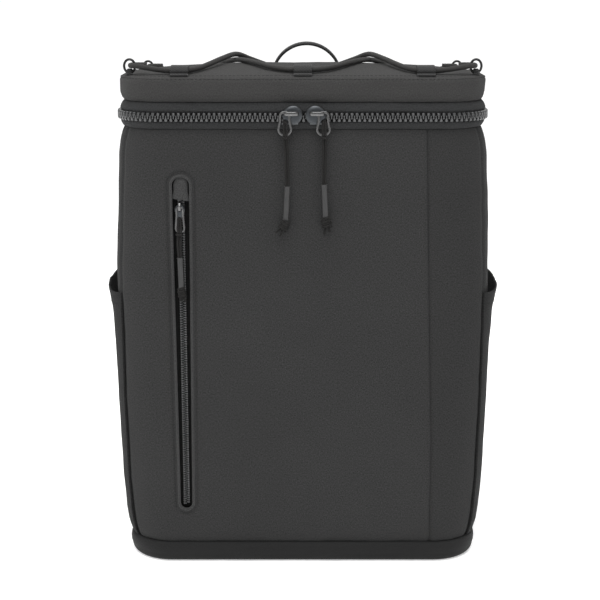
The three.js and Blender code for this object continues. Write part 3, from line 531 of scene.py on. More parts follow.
body_cloth = cloth_material("body_cloth", 0.0325)
# A darker copy of the body cloth: painted shade for the flanks, the back and the strip right of the front
# seam, where less light falls on the same fabric.
side_cloth_painted_shade = cloth_material("side_cloth_painted_shade", 0.029)
# A lighter copy of the body cloth: painted highlight where the slot's folded lip and the garage catch the
# light.
fold_cloth_painted_highlight = cloth_material("fold_cloth_painted_highlight", 0.046, sheen=0.06)
lid_cloth = cloth_material("lid_cloth", 0.0415, warm=0.015, fleck=0.16)
base_cloth = cloth_material("base_cloth", 0.016, pitch=0.8, fleck=0.15, roughness=0.7, sheen=0.05)
pocket_cloth = cloth_material("pocket_cloth", 0.02)
mesh_cloth = cloth_material("mesh_cloth", 0.03, pitch=2.2, fleck=0.2, depth=0.0006)
binding_cloth = webbing_material("binding_cloth", 0.028, rib=0.9)
tape_cloth = cloth_material("tape_cloth", 0.03, warm=-0.02, pitch=0.5, fleck=0.2)
# A near-black copy of the tape cloth: painted shade in the recess behind the slot and in the gaps between
# the zip teeth.
tape_cloth_painted_shade = cloth_material("tape_cloth_painted_shade", 0.006, pitch=0.5, fleck=0.2, sheen=0.0)
webbing = webbing_material("webbing", 0.011)
thread = moulded_material("thread", 0.006, 0.75, 1800.0)
tooth_resin = moulded_material("tooth_resin", 0.036, 0.22, 500.0, cool=0.02, coat=0.6)
slider_metal = metal_material("slider_metal", 0.055, cool=0.08, roughness=0.36, wear=0.1)
bail_metal = metal_material("bail_metal", 0.13, roughness=0.15, wear=0.1)
puller_metal = metal_material("puller_metal", 0.09, roughness=0.28, wear=0.2)
ring_paint = metal_material("ring_paint", 0.02, roughness=0.4, wear=0.1)
cord_cloth = cord_material("cord_cloth", 0.022, step=1.6, sheen=0.08, gloss=0.2)
pull_cord_cloth = cord_material("pull_cord_cloth", 0.012, step=0.9, sheen=0.03, gloss=0.12)
sleeve_rubber = moulded_material("sleeve_rubber", 0.023, 0.45, 900.0, depth=0.00004)
buckle_plastic = moulded_material("buckle_plastic", 0.014, 0.42, 600.0)


# Pull cords. Routes repeat the solids': X, then the drop below the puller's lowest point.

PULL_CORD = 4.0
SLEEVE = 4.8
PULLER_WINDOW = 11.0
LEFT_ROUTE = [(-14.3, 0.4), (-13.4, 10), (-13, 24), (-12.8, 41), (-13.4, 55), (-14.1, 69)]
RIGHT_ROUTE = [(17.4, 0.4), (17.8, 11), (17.5, 25), (17.6, 39.5), (18.2, 53), (18.8, 66.5)]
POCKET_ROUTE = [(-102.3, 0.4), (-103, 9), (-102.3, 21), (-101.9, 34), (-101.6, 47)]


def strand_pair(path, gap, radius):
    """Two strands side by side along one path."""
    guide = (1, 0, 0)
    sides, _ = carried_frames(path, guide)
    return [tube_part(path + s * sides * gap / 2, radius, 12, guide) for s in (-1, 1)]


def larks_head(foot, wire, radius):
    """The cord's bight, passed round the puller's foot and back over itself."""
    parts = []
    for side in (-1, 1):
        turn = np.linspace(-0.5 * math.pi, 1.0 * math.pi, 14)
        around = np.stack([np.full_like(turn, side * radius * 1.05),
                           -np.cos(turn) * (wire + radius),
                           np.sin(turn) * (wire + radius) + wire], 1)
        parts.append(tube_part(foot + around, radius, 10, (1, 0, 0)))
    turn = np.linspace(0, math.pi, 16)
    bight = np.stack([np.cos(turn) * radius * 2.3, -np.sin(turn) * radius * 2.0 - wire,
                      np.full_like(turn, -radius * 1.3)], 1)
    parts.append(tube_part(foot + bight, radius * 0.95, 10, (0, 0, 1)))
    return parts


def standing_loop(foot, radius, rise):
    """The cord's own loop, seen through the puller's window."""
    turn = np.linspace(0, math.pi, 12)
    over = np.stack([np.cos(turn) * radius * 1.1, np.zeros(12), rise + np.sin(turn) * radius * 1.1], 1)
    legs = [(radius * 1.1, 0, 0)] + [tuple(row) for row in over] + [(-radius * 1.1, 0, 0)]
    return tube_part(foot + catmull(legs, 4), radius * 0.95, 10, (0, 1, 0))


def barrel_knot(centre, lean, radius, strand):
    """The strands wound round themselves, drawn tight and leaning, with two cut tails below."""
    lean = math.radians(lean)
    axis = np.array([math.sin(lean), 0, -math.cos(lean)])
    side = np.array([math.cos(lean), 0, math.sin(lean)])
    out = np.array([0, -1.0, 0])
    parts = []
    for k, rise in enumerate((-1.5, -0.5, 0.5, 1.5)):
        turn = np.linspace(-0.25, 2 * math.pi + 0.25, 30)
        wound = radius * (1.04 if k % 2 else 0.92)
        climb = rise * strand * 1.75 + (turn / (2 * math.pi) - 0.5) * strand * 1.8
        path = (centre + np.cos(turn)[:, None] * side * wound + np.sin(turn)[:, None] * out * wound * 0.82
                + climb[:, None] * axis)
        parts.append(tube_part(path, strand, 10, axis))
    core = centre + np.linspace(-1, 1, 6)[:, None] * axis * strand * 3.4
    parts.append(tube_part(core, radius * 0.8, 12, side))
    return parts, axis, side


def knot_tails(centre, axis, side, strand, tails):
    parts = []
    for across, length, curl in tails:
        chosen = [centre + axis * strand * 2 + side * across * 0.4,
                  centre + axis * length * 0.55 + side * across,
                  centre + axis * length + side * (across + curl)]
        parts.append(tube_part(catmull(chosen, 6), strand, 10, (0, 1, 0)))
    return parts


def sleeve_part(path, diameter):
    """A grip sleeve drawn over both strands, pinched between them, with a lip at each end."""
    along = lengths_along(path) / lengths_along(path)[-1]
    turn = np.linspace(0, 2 * math.pi, 24, endpoint=False)
    pinch = 1 - 0.34 * np.abs(np.sin(turn)) ** 5
    rings = []
    for share in along:
        lip = 1 + 0.09 * bell(share, 0.025) + 0.05 * bell(share - 1, 0.03)
        radius = diameter / 2 * lip
        rings.append(np.stack([np.cos(turn) * radius, np.sin(turn) * radius * 0.86 * pinch], 1))
    rings[0] = rings[0] * 0.86
    rings[-1] = rings[-1] * 0.86
    sides, ups = carried_frames(path, (1, 0, 0))
    return sweep_part(path, np.array(rings), sides, ups)


def pull_cord(name, route, depth, foot_z, sleeve_steps, knot_lean, knot_radius, tails):
    chosen = np.array([(x, depth, foot_z - drop) for x, drop in route])
    path = evenly(catmull(chosen, 10), 1.2)
    parts = strand_pair(path, PULL_CORD / 2, PULL_CORD / 4)
    wire_foot = chosen[0] + np.array([0, 0, 0.6])
    parts += larks_head(wire_foot, 0.9, PULL_CORD / 4)
    cord = piece(f"{name}_pull_cord_braid", parts, pull_cord_cloth, [f"{name}_pull_cord"])
    loop = piece(f"{name}_pull_loop", standing_loop(wire_foot, PULL_CORD / 4, PULLER_WINDOW),
                 pull_cord_cloth)
    foot = chosen[sleeve_steps[1]]
    tube = catmull(chosen[sleeve_steps[0]:sleeve_steps[1] + 1], 14)
    tube = np.vstack([tube[:1] + [0, 0, 0.05], tube, tube[-1:] - [0, 0, 0.05]])
    grip = piece(f"{name}_pull_grip", sleeve_part(tube, SLEEVE), sleeve_rubber,
                 [f"{name}_pull_sleeve"])
    strand = PULL_CORD / 4 * 1.1
    lean = math.radians(knot_lean)
    drop = knot_radius * 0.9 + 1.4
    centre = foot + np.array([math.sin(lean) * drop * 0.5, -0.2, -drop])
    wraps, axis, side = barrel_knot(centre, knot_lean, knot_radius, strand)
    knot = piece(f"{name}_pull_knot_tied", wraps + knot_tails(centre, axis, side, strand, tails),
                 pull_cord_cloth, [f"{name}_pull_knot"])


PULLER_Y = (puller_low[1] + puller_high[1]) / 2 - SHIFT[1]
POCKET_PULLER_Y = (pocket_puller_low[1] + pocket_puller_high[1]) / 2 - SHIFT[1]

pull_cord("left", LEFT_ROUTE, PULLER_Y, puller_low[2], (3, 5), -32, 3.3,
          [(-1.2, 9.0, -1.6), (1.2, 9.6, 0.6)])
pull_cord("right", RIGHT_ROUTE, PULLER_Y, puller_low[2], (3, 5), 12, 3.5,
          [(-1.6, 9.2, -2.0), (1.0, 8.2, 0.4)])
pull_cord("pocket", POCKET_ROUTE, POCKET_PULLER_Y, pocket_puller_low[2], (2, 4), 8, 2.5,
          [(-1.0, 7.4, -0.6), (1.0, 8.4, 1.2)])


# Body plan: arc length from the middle of the front, positive to the right

FRONT_HALF = HALF_WIDTH - CORNER
ARC = CORNER * math.pi / 2
FLANK = 2 * (HALF_DEPTH - CORNER)
SIDE_START = FRONT_HALF + ARC
SIDE_END = SIDE_START + FLANK
BACK_START = SIDE_END + ARC
HALF_ROUND = BACK_START + FRONT_HALF
SEAM_S = FRONT_HALF + CORNER * math.radians(SEAM_TURN)
BAND_END_S = SIDE_END + CORNER * math.asin((BAND_END_Y - (HALF_DEPTH - CORNER)) / CORNER)


def outline(s):
    """Plan point and outward normal at arc length s."""
    s = np.asarray(s, float)
    a = np.abs(s)
    sign = np.where(s < 0, -1.0, 1.0)
    front_turn = np.clip((a - FRONT_HALF) / CORNER, 0, math.pi / 2)
    back_turn = np.clip((a - SIDE_END) / CORNER, 0, math.pi / 2)
    nx = np.sin(front_turn) - (1 - np.cos(back_turn))
    ny = -np.cos(front_turn) + np.sin(back_turn)
    x = np.minimum(a, FRONT_HALF) + CORNER * np.sin(front_turn) - CORNER * (1 - np.cos(back_turn))
    x = x - np.maximum(a - BACK_START, 0)
    y = (FRONT + CORNER * (1 - np.cos(front_turn)) + np.clip(a - SIDE_START, 0, FLANK)
         + CORNER * np.sin(back_turn))
    return np.stack([x * sign, y], -1), np.stack([nx * sign, ny], -1)


SIDE_SWELL = ([0, 0.06, 0.15, 0.35, 0.66, 0.84, 0.94, 1], [0, 2.4, 4.5, 6.4, 6.8, 4.4, 2.6, 0])


def side_swell(s, z):
    """How far the soft sides stand out in X, fading into the flat front and back."""
    share = np.clip((z - BASE_TOP) / (BODY_TOP - BASE_TOP), 0, 1)
    swell = np.interp(share, *SIDE_SWELL)
    a = np.abs(s)
    fade = smooth((a - FRONT_HALF + 3) / 40) * smooth((BACK_START + 3 - a) / 40)
    return np.sign(s) * swell * fade


def place(s, z, out):
    """A point on the body's wall, moved out from it."""
    s, z, out = np.broadcast_arrays(np.asarray(s, float), np.asarray(z, float), np.asarray(out, float))
    plan, normal = outline(s)
    xy = plan + normal * out[..., None]
    xy[..., 0] += side_swell(s, z)
    return np.concatenate([xy, z[..., None]], -1)


FOOT_TUCK = 2.8
SEAM_TUCK = 3.0
TUCK_RISE = 24.0
FADE = ([0, 0.15, 0.45, 1.0], [1.0, 0.55, 0.15, 0.0])


def tuck(distance, depth):
    share = np.clip(np.asarray(distance, float) / TUCK_RISE, 0, 1)
    return depth * np.interp(share, *FADE)


def seam_x(z):
    """The slanting seam on the right of the front."""
    share = (np.asarray(z, float) - BASE_TOP) / (BODY_TOP - BASE_TOP)
    return HALF_WIDTH * np.interp(share, [0, 0.26, 0.75, 1], [0.7255, 0.7235, 0.684, 0.667])


def slot_distance(x, z):
    """Distance outside the slot's edge, negative inside."""
    share = np.clip((z - SLOT_FOOT_Z) / (SLOT_HEAD_Z - SLOT_FOOT_Z), 0, 1)
    nearest = SLOT_FOOT_Z + share * (SLOT_HEAD_Z - SLOT_FOOT_Z)
    radius = (SLOT_BOTTOM_WIDTH + (SLOT_TOP_WIDTH - SLOT_BOTTOM_WIDTH) * share) / 2
    return np.hypot(x - SLOT_X, z - nearest) - radius


def stadium(grow, step):
    """Points round the slot, grown by a margin."""
    points = []
    ends = ((SLOT_HEAD_Z, SLOT_TOP_WIDTH, 0), (SLOT_FOOT_Z, SLOT_BOTTOM_WIDTH, math.pi))
    for centre, width, start in ends:
        radius = width / 2 + grow
        turn = np.linspace(start, start + math.pi, max(8, int(math.pi * radius / step)))
        points.append(np.stack([SLOT_X + radius * np.cos(turn), centre + radius * np.sin(turn)], 1))
    return evenly(np.vstack([*points, points[0][:1]]), step)[:-1]


def body_out(s, z):
    """How far the cloth stands out from the plan outline, before seams."""
    s, z = np.broadcast_arrays(np.asarray(s, float), np.asarray(z, float))
    foot, top = z - BASE_TOP, BODY_TOP - z
    inside = smooth(foot / 30) * smooth(top / 30)
    out = -tuck(foot, FOOT_TUCK) - tuck(top, SEAM_TUCK)
    field = np.stack([s, z], -1)
    out = out + inside * (0.35 * wobble(field, 95, 11) + 0.16 * wobble(field, 34, 12))
    puckers = 0.28 * wobble(field * [1, 0.25], 11, 13) * (np.exp(-foot / 7) + np.exp(-top / 7))
    seam_gap = np.abs(np.abs(s) - SEAM_S)
    puckers = puckers + 0.16 * wobble(field * [0.3, 1], 13, 14) * np.exp(-seam_gap / 6)
    return out + puckers


def corner_seam(s):
    """The groove and the raised allowance of the seams on the front corners."""
    gap = np.abs(np.abs(s) - SEAM_S)
    return -1.2 * bell(gap, 1.7) + 0.3 * bell(gap - 5, 3.0)


# Stitches: short thread loops along a row, half sunk in the cloth

STITCH_PITCH = 3.4
STITCH_LENGTH = 2.5
THREAD_RADIUS = 0.33


def stitch_shape():
    rings = []
    for along, size in ((-0.5, 0.3), (-0.34, 0.9), (0, 1.05), (0.34, 0.9), (0.5, 0.3)):
        ring = circle(THREAD_RADIUS * size, 6)
        rings.append(np.column_stack([np.full(6, along * STITCH_LENGTH), ring]))
    return np.array(rings)


def stitch_row(path, outs, closed=False):
    """Stitches at the points of an even path, lying on a surface that faces out."""
    along = tangents(path, closed)
    sides = unit(along - outs * np.sum(along * outs, axis=1, keepdims=True))
    return teeth_part(path + outs * 0.08, sides, np.cross(outs, sides), outs, stitch_shape())


def teeth_part(places, sides, ups, outs, shape):
    """The same small form at each place, as one part."""
    local = shape.reshape(-1, 3)
    points = (places[:, None] + local[None, :, :1] * sides[:, None] + local[None, :, 1:2] * ups[:, None]
              + local[None, :, 2:] * outs[:, None])
    single = grid_part(shape)
    faces, uvs = [], []
    for k in range(len(places)):
        start = k * len(local)
        faces += [[i + start for i in f] for f in single.faces]
        uvs += single.uvs
    return Part(points.reshape(-1, 3), faces, uvs)


# Tub

def columns_around(step, extra=()):
    """Arc lengths round the body from the middle of the back, closer together at chosen places."""
    even = np.arange(-HALF_ROUND, HALF_ROUND, step)
    extra = np.array(sorted(extra))
    if len(extra):
        even = even[np.min(np.abs(even[:, None] - extra[None]), axis=1) > step * 0.4]
    return np.sort(np.concatenate([even, extra]))


def cavity_ring(s):
    """The cavity's plan, with a column for each of the body's."""
    front = FRONT + PANEL + POCKET_SPACE + WALL
    back = BACK - SEAM_TUCK - WALL
    plan, _ = outline(s)
    x = plan[:, 0] * (HALF_WIDTH - SEAM_TUCK - WALL) / HALF_WIDTH
    y = (front + back) / 2 + plan[:, 1] * (back - front) / 2 / HALF_DEPTH
    return x, y


def insulated_tub():
    near = [side * (SEAM_S + d) for side in (-1, 1) for d in (-0.6, -0.2, 0.4, 1.2, 2.4, 4, 6, 9)]
    s = columns_around(3.2, near)
    z = np.concatenate([[tub_low[2] + 3], np.linspace(BASE_TOP + SEAT, BODY_TOP, 118)])
    grid_s, grid_z = np.meshgrid(s, z)
    out = body_out(grid_s, grid_z) + corner_seam(grid_s)
    behind = np.abs(grid_s) < SEAM_S - 0.3
    out = np.where(behind, np.minimum(out, 0) - PANEL - 0.4, out)
    space = (behind & (grid_s > -FRONT_HALF) & (grid_s < seam_x(grid_z) - 12)
             & (grid_z > SLOT_BOTTOM - 14) & (grid_z < SLOT_TOP + 12))
    out = np.where(space, -PANEL - POCKET_SPACE, out)
    out[0] = -FOOT_TUCK - 0.2
    rings = [place(s, np.full_like(s, tub_low[2]), np.full_like(s, -FOOT_TUCK - 3))]
    rings += list(place(grid_s, grid_z, out))
    for height in (BODY_TOP, tub_low[2] + 12):
        x, y = cavity_ring(s)
        rings.append(np.stack([x, y, np.full_like(x, height)], 1))
    rings = np.array(rings)
    u = np.append(s, s[-1] + 3.2)
    v = rings[:, 0, 2].copy()
    v[-2] += WALL
    v[-1] = v[-2] + BODY_TOP
    uv = np.stack(np.meshgrid(u, v), -1)
    # The tub's flanks and back take the darker copy of the cloth: painted shade.
    piece("tub_shell", grid_part(rings, uv=uv), side_cloth_painted_shade, ["insulated_tub"], 60)


insulated_tub()


# Front panels

def front_relief(s, z, with_slot):
    out = body_out(s, z) + corner_seam(s)
    gap = np.abs(s - seam_x(z))
    out = out - 1.1 * bell(gap, 1.6) + 0.3 * bell(gap - 5, 2.6)
    if with_slot:
        away = np.maximum(slot_distance(s, z), 0)
        out = out + 0.5 * bell(away - 1, 2.2) - 0.9 * bell(away - 4.2, 0.8) + 0.25 * bell(away - 7, 3.5)
    # Soft folds that run down and inwards from the front corners of the side pockets
    for side, lean, size in ((-1, 0.9, 0.55), (1, 0.8, 0.35)):
        root = side * (SEAM_S - 4)
        along = (s - root) * -side
        for k, (start, slope) in enumerate(((268, lean), (246, lean * 1.5), (215, lean * 0.6))):
            line = start - along * slope
            reach = smooth((along + 4) / 10) * np.exp(-np.maximum(along, 0) / (38 - 6 * k))
            out = out + size * reach * bell(z - line, 6.5) * (1 if k != 1 else -0.8)
    return out


PANEL_STEP = 3.0
NEAR_EDGE = np.array([0.7, 1.5, 2.4, 3.6, 5.2])
ROUND_SLOT = (0.6, 1.3, 2.2, 3.2, 3.9, 4.5, 5.4, 6.5)


def panel_steps(start, end):
    return np.linspace(float(start), float(end), int(abs(end - start) / PANEL_STEP) + 1)


def panel_border(left, right):
    """Points round a panel, from its upper left corner by way of its foot."""
    low, high = BASE_TOP + SEAT, BODY_TOP
    heights = panel_steps(low, high)
    border = [(float(left(z)), z) for z in heights[::-1]]
    border += [(x, low) for x in panel_steps(left(low), right(low))[1:]]
    border += [(float(right(z)), z) for z in heights[1:]]
    return border + [(x, high) for x in panel_steps(right(high), left(high))[1:-1]]


def panel_inside(left, right, hole):
    """Points inside a panel, closer together along its edges and round the slot."""
    low, high = BASE_TOP + SEAT, BODY_TOP
    inside = []
    for z in np.linspace(low + PANEL_STEP, high - PANEL_STEP, int((high - low) / PANEL_STEP) - 1):
        start, end = float(left(z)), float(right(z))
        middle = np.arange(start + 7.5, end - 7.5, PANEL_STEP)
        for x in np.concatenate([start + NEAR_EDGE, middle, end - NEAR_EDGE[::-1]]):
            if not hole or slot_distance(x, z) > 7.2:
                inside.append((x, z))
    if hole:
        for grow in ROUND_SLOT:
            inside += [tuple(point) for point in stadium(grow, 2.2)]
    return inside


def panel_faces(left, right, hole):
    """A flat net of points and faces between the panel's edges, without the slot."""
    rings = [panel_border(left, right)]
    if hole:
        rings.append(stadium(0, 1.6)[::-1])
    points = [(float(x), float(z)) for ring in rings for x, z in ring]
    edges = []
    start = 0
    for ring in rings:
        edges += [(start + i, start + (i + 1) % len(ring)) for i in range(len(ring))]
        start += len(ring)
    points += [(float(x), float(z)) for x, z in panel_inside(left, right, hole)]
    found, _, faces, *_ = delaunay_2d_cdt(points, edges, [], 0, 1e-5)
    flat = np.array([tuple(point) for point in found])
    kept = []
    for face in faces:
        x, z = flat[list(face)].mean(0)
        inside = left(z) < x < right(z) and BASE_TOP + SEAT < z < BODY_TOP
        if inside and not (hole and slot_distance(x, z) < 0):
            kept.append(list(face))
    return flat, kept


def panel_part(left, right, hole):
    """A cloth panel between two edges given as functions of height, with the slot cut from it."""
    flat, kept = panel_faces(left, right, hole)
    count = len(flat)
    s, z = flat.T
    out = front_relief(s, z, hole)
    faces = kept + [[i + count for i in face[::-1]] for face in kept]
    sides = dict.fromkeys((a, b) for face in kept for a, b in zip(face, face[1:] + face[:1]))
    faces += [[b, a, a + count, b + count] for a, b in sides if (b, a) not in sides]
    both = np.vstack([flat, flat])
    points = np.vstack([place(s, z, out), place(s, z, np.minimum(out, 0.3) - PANEL)])
    return Part(points, faces, [both[face].tolist() for face in faces])


def front_panels():
    left_edge = lambda z: -SEAM_S + 0.15
    right_edge = lambda z: SEAM_S - 0.15
    pocket = panel_part(left_edge, lambda z: seam_x(z) - 0.15, True)
    piece("front_pocket_cloth", pocket, body_cloth, ["front_pocket_panel"], 50)
    side = panel_part(lambda z: seam_x(z) + 0.15, right_edge, False)
    # The strip right of the seam takes the darker copy of the cloth: painted shade.
    piece("front_side_cloth", side, side_cloth_painted_shade, ["front_side_panel"], 50)


front_panels()


# Slot: a folded lip round its edge, the tape and teeth behind it, and the garage over its head

LIP_RADIUS = 1.15


def slot_lip():
    path2 = stadium(LIP_RADIUS * 0.8, 1.5)
    path = np.stack([path2[:, 0], np.full(len(path2), FRONT - 0.35), path2[:, 1]], 1)
    path[:, 1] += 0.12 * wobble(path, 18, 21)
    along = tangents(path, True)
    ups = np.broadcast_to(np.array([0, -1.0, 0]), path.shape)
    sides = unit(np.cross(along, ups))
    section = circle(1.0, 14) * [LIP_RADIUS * 1.05, LIP_RADIUS * 0.95]
    # The lip takes the lighter copy of the cloth: painted highlight.
    piece("slot_lip", sweep_part(path, section, sides, ups, closed=True), fold_cloth_painted_highlight)


slot_lip()


def slot_stitches():
    flat = stadium(4.1, STITCH_PITCH)
    path = place(flat[:, 0], flat[:, 1], front_relief(flat[:, 0], flat[:, 1], True))
    outs = np.broadcast_to(np.array([0, -1.0, 0]), path.shape)
    piece("slot_stitches", stitch_row(path, outs, closed=True), thread)


slot_stitches()
TAPE_FACE = slot_low[1] - SHIFT[1]


def slot_tape():
    """Two tapes side by side behind the slot, with the fold where they meet."""
    z = np.linspace(SLOT_BOTTOM - 2, SLOT_TOP + 2, 100)
    x = np.concatenate([np.linspace(-9.6, -0.5, 12), [0], np.linspace(0.5, 9.6, 12)])
    grid_x, grid_z = np.meshgrid(x, z)
    depth = TAPE_FACE + 0.5 * bell(grid_x, 0.5) - 0.35 * bell(np.abs(grid_x) - 7, 1.4)
    depth = depth + 0.15 * wobble(np.stack([grid_x, grid_z], -1), 24, 22)
    front = np.stack([grid_x + SLOT_X, depth, grid_z], -1)
    back = np.stack([grid_x + SLOT_X, np.full_like(depth, TAPE_FACE + 1.1), grid_z], -1)
    # The slot's tapes take the near-black cloth: painted shade for the recess behind the slot.
    piece("slot_tape", slab_part(front, back), tape_cloth_painted_shade, ["pocket_zip_tape"])


slot_tape()


def tooth_rings(half, base, depth):
    """One tooth, pointing across the zip: a round base, a neck and a head, with bevelled front."""
    profile = [(0.62, -1.0), (0.92, -0.88), (1.0, -0.66), (0.8, -0.34), (0.46, -0.08), (0.42, 0.14),
               (0.52, 0.26), (0.4, 0.38), (0, 0.42)]
    right = [(half * a, base * b) for a, b in profile]
    left = [(-a, b) for a, b in right[:-1]][::-1]
    loop = np.array(right + left)
    middle = np.array([0, -0.3 * base])
    rings = []
    for out, shrink in ((-0.45, 1.0), (0.62, 1.0), (0.88, 0.86), (1.0, 0.6)):
        ring = middle + (loop - middle) * shrink
        rings.append(np.concatenate([ring, np.full((len(ring), 1), out * depth)], 1))
    return np.array(rings)


SLOT_PITCH = 2.1
SLOT_TOOTH = (0.8, 2.1, 1.5)


def slot_teeth():
    z = np.arange(SLOT_BOTTOM + 4, garage_low[2] + 6, SLOT_PITCH)
    shape = tooth_rings(*SLOT_TOOTH)
    parts = []
    for side in (-1, 1):
        heights = z + (SLOT_PITCH / 2 if side > 0 else 0)
        places = np.stack([np.full_like(heights, SLOT_X + side * 0.75),
                           np.full_like(heights, TAPE_FACE - 0.55), heights], 1)
        count = len(heights)
        direction = np.tile([0, 0, 1.0], (count, 1))
        across = np.tile([-side, 0, 0], (count, 1))
        outward = np.tile([0, -1.0, 0], (count, 1))
        parts.append(teeth_part(places, direction, across, outward, shape))
    piece("slot_teeth", parts, tooth_resin, ["pocket_zip_chain"], 30)


slot_teeth()


def garage():
    """A domed flap sewn over the head of the slot."""
    half = SLOT_TOP_WIDTH / 2 + 0.2
    rows = np.linspace(0, 1, 22)
    across = np.linspace(-1, 1, 25)
    front, back = [], []
    for r in rows:
        foot = garage_low[2] - 0.4 - 1.2 * across
        top = SLOT_HEAD_Z + np.sqrt(np.maximum(1 - across ** 2, 0)) * SLOT_TOP_WIDTH / 2
        z = foot + (top - foot) * r
        x = SLOT_X + across * half * (1 - 0.2 * smooth(r / 0.6))
        dome = 1.5 * (1 - across ** 2) ** 0.6 * smooth((1 - r) / 0.35 + 0.35)
        y = FRONT + 0.9 - dome - 0.3 * bell(r, 0.08)
        front.append(np.stack([x, y, z], 1))
        back.append(np.stack([x, y + 1.0, z], 1))
    # The garage takes the lighter copy of the cloth: painted highlight.
    piece("slot_garage", slab_part(np.array(front), np.array(back)), fold_cloth_painted_highlight,
          ["pocket_zip_garage"], 60)


garage()


# Lid

LID_TUCK = 3.4
LID_ROUND = 4.5
LID_CEILING = 8.0
LID_PROFILE = ([0, 0.12, 0.32, 0.58, 0.82, 1.0], [1.0, 0.45, 0.08, 0, 0, 0])
LID_CROWN = 7.4
LID_FALL = 15.0
LID_FALL_START = 75.0


def lid_rise(x, y):
    """The padded lid is crowned over its middle and falls away towards its hinge."""
    across = 1 - np.minimum(np.abs(x / HALF_WIDTH), 1) ** 2.5
    along = 1 - (y / HALF_DEPTH) ** 2
    share = np.maximum(0, (y + HALF_DEPTH - LID_FALL_START) / (2 * HALF_DEPTH - LID_FALL_START))
    return LID_CROWN * across * along - LID_FALL * share ** 1.5


def lid_surface(x, y):
    return LID_TOP + lid_rise(x, y)


def lid_ears(s):
    """How far the lid's front corners are drawn out, at the ends of its front edge."""
    return bell(np.abs(s) - (FRONT_HALF + ARC * 0.62), 14)


def lid_ring(s, out, share, drop=0.0):
    ring = place(s, np.full_like(s, BODY_TOP), out)
    height = LID_TOP - LID_BOTTOM
    ring[:, 2] = LID_BOTTOM + share * (height + lid_rise(ring[:, 0], ring[:, 1])) - drop
    return ring


def lid_wall(s):
    """Rings up the inside of the rim, up the wall and round onto the top."""
    height = LID_TOP - LID_BOTTOM
    inside = np.full_like(s, -LID_TUCK - WALL)
    rings = [lid_ring(s, inside, 1, LID_CEILING), lid_ring(s, inside, 0)]
    round_start = 1 - LID_ROUND / height
    shares = np.linspace(0, round_start, 16)
    insets = LID_TUCK * np.interp(shares, *LID_PROFILE)
    turn = np.linspace(0, math.pi / 2, 8)[1:]
    shares = np.concatenate([shares, round_start + (1 - round_start) * np.sin(turn)])
    insets = np.concatenate([insets, LID_ROUND * (1 - np.cos(turn)) * 1.15])
    for share, inset in zip(shares, insets):
        field = np.stack([s, np.full_like(s, share * height)], -1)
        middle = math.sin(math.pi * min(share, 0.98)) ** 0.7
        out = -inset + middle * (0.5 * wobble(field, 60, 31) + 0.22 * wobble(field, 20, 32))
        out = out + 0.25 * wobble(field * [1, 0.3], 9, 33) * math.exp(-share * 7)
        rings.append(lid_ring(s, out + 0.6 * lid_ears(s) * middle, share))
    return rings


LID_TOP_RINGS = (0.99, 0.975, 0.955, 0.93, 0.9, 0.85, 0.78, 0.7, 0.6, 0.5, 0.4, 0.3, 0.2, 0.1, 0.03)


def lid_top(edge):
    """Rings over the padded top, from its edge to its middle."""
    rings = []
    for k in LID_TOP_RINGS:
        ring = edge * [k, k, 1]
        soft = 0.3 * wobble(ring[:, :2], 48, 34) * smooth((1 - k) / 0.15)
        ring[:, 2] = lid_surface(ring[:, 0], ring[:, 1]) + np.minimum(soft, 0.15)
        ring[:, 2] -= 0.35 * bell((1 - k) - 0.034, 0.012)
        rings.append(ring)
    return rings


def lid_stitches(ring, lift):
    path = evenly(np.vstack([ring, ring[:1]]), STITCH_PITCH)[:-1]
    level = path[:, :2] * [0.5, 1.0] * (1 - lift)
    outs = unit(np.column_stack([level, np.full(len(path), 40 * lift)]))
    return stitch_row(path, outs, closed=True)


def lid():
    s = columns_around(3.0)
    wall = lid_wall(s)
    top = lid_top(wall[-1])
    rings = np.array(wall + top)
    way = np.append(s, s[-1] + 3.0)
    climb = lengths_along(rings[:, len(s) // 2])
    part = grid_part(rings, uv=np.stack(np.meshgrid(way, climb), -1))
    for k in range((len(wall) - 1) * len(s), len(part.faces)):
        part.uvs[k] = part.points[part.faces[k]][:, :2].tolist()
    piece("lid_padded", part, lid_cloth, ["lid"], 60)
    rows = [lid_stitches(top[0], 1.0), lid_stitches(wall[-5], 0.45)]
    piece("lid_stitches", rows, thread)


lid()


# Base

def base():
    s = columns_around(3.0)
    radius = 6.0
    turn = np.linspace(math.pi / 2, 0, 9)
    heights = list(radius * (1 - np.sin(turn))) + list(np.linspace(radius, BASE_TOP - 1.6, 7)[1:])
    inset = list(radius * (1 - np.cos(turn)) * 0.95) + [-0.5, -0.9, -1.1, -1.1, -0.9, -0.5]
    rings = []
    for z, back in zip(heights, inset):
        field = np.stack([s, np.full_like(s, z)], -1)
        soft = min(1, z / 6) * 0.3 * wobble(field, 45, 41)
        rings.append(place(s, np.full_like(s, z), -np.array(back) + soft * smooth(z / 6)))
    for z, back in ((BASE_TOP - 0.7, 0.25), (BASE_TOP - 0.15, 0.9), (BASE_TOP, 1.6), (BASE_TOP, 2.5)):
        rings.append(place(s, np.full_like(s, z), np.full_like(s, -back)))
    rings.append(place(s, np.full_like(s, 6.0), np.full_like(s, -2.5)))
    rings = np.array(rings)
    u = np.append(s, s[-1] + 3.0)
    uv = np.stack(np.meshgrid(u, lengths_along(rings[:, 0])), -1)
    piece("base_tray", grid_part(rings, uv=uv), base_cloth, ["base_panel"], 60)


base()


# Zip band: two tapes, the teeth along their edges and the hinge cloth behind

BAND_STEP = 3.0


def band_columns():
    return np.linspace(-BAND_END_S, BAND_END_S, int(2 * BAND_END_S / BAND_STEP))


def wall_slab(s, z, out, thickness, uv):
    """A band of cloth that follows the body's wall."""
    return slab_part(place(s, z, out), place(s, z, out - thickness), uv)


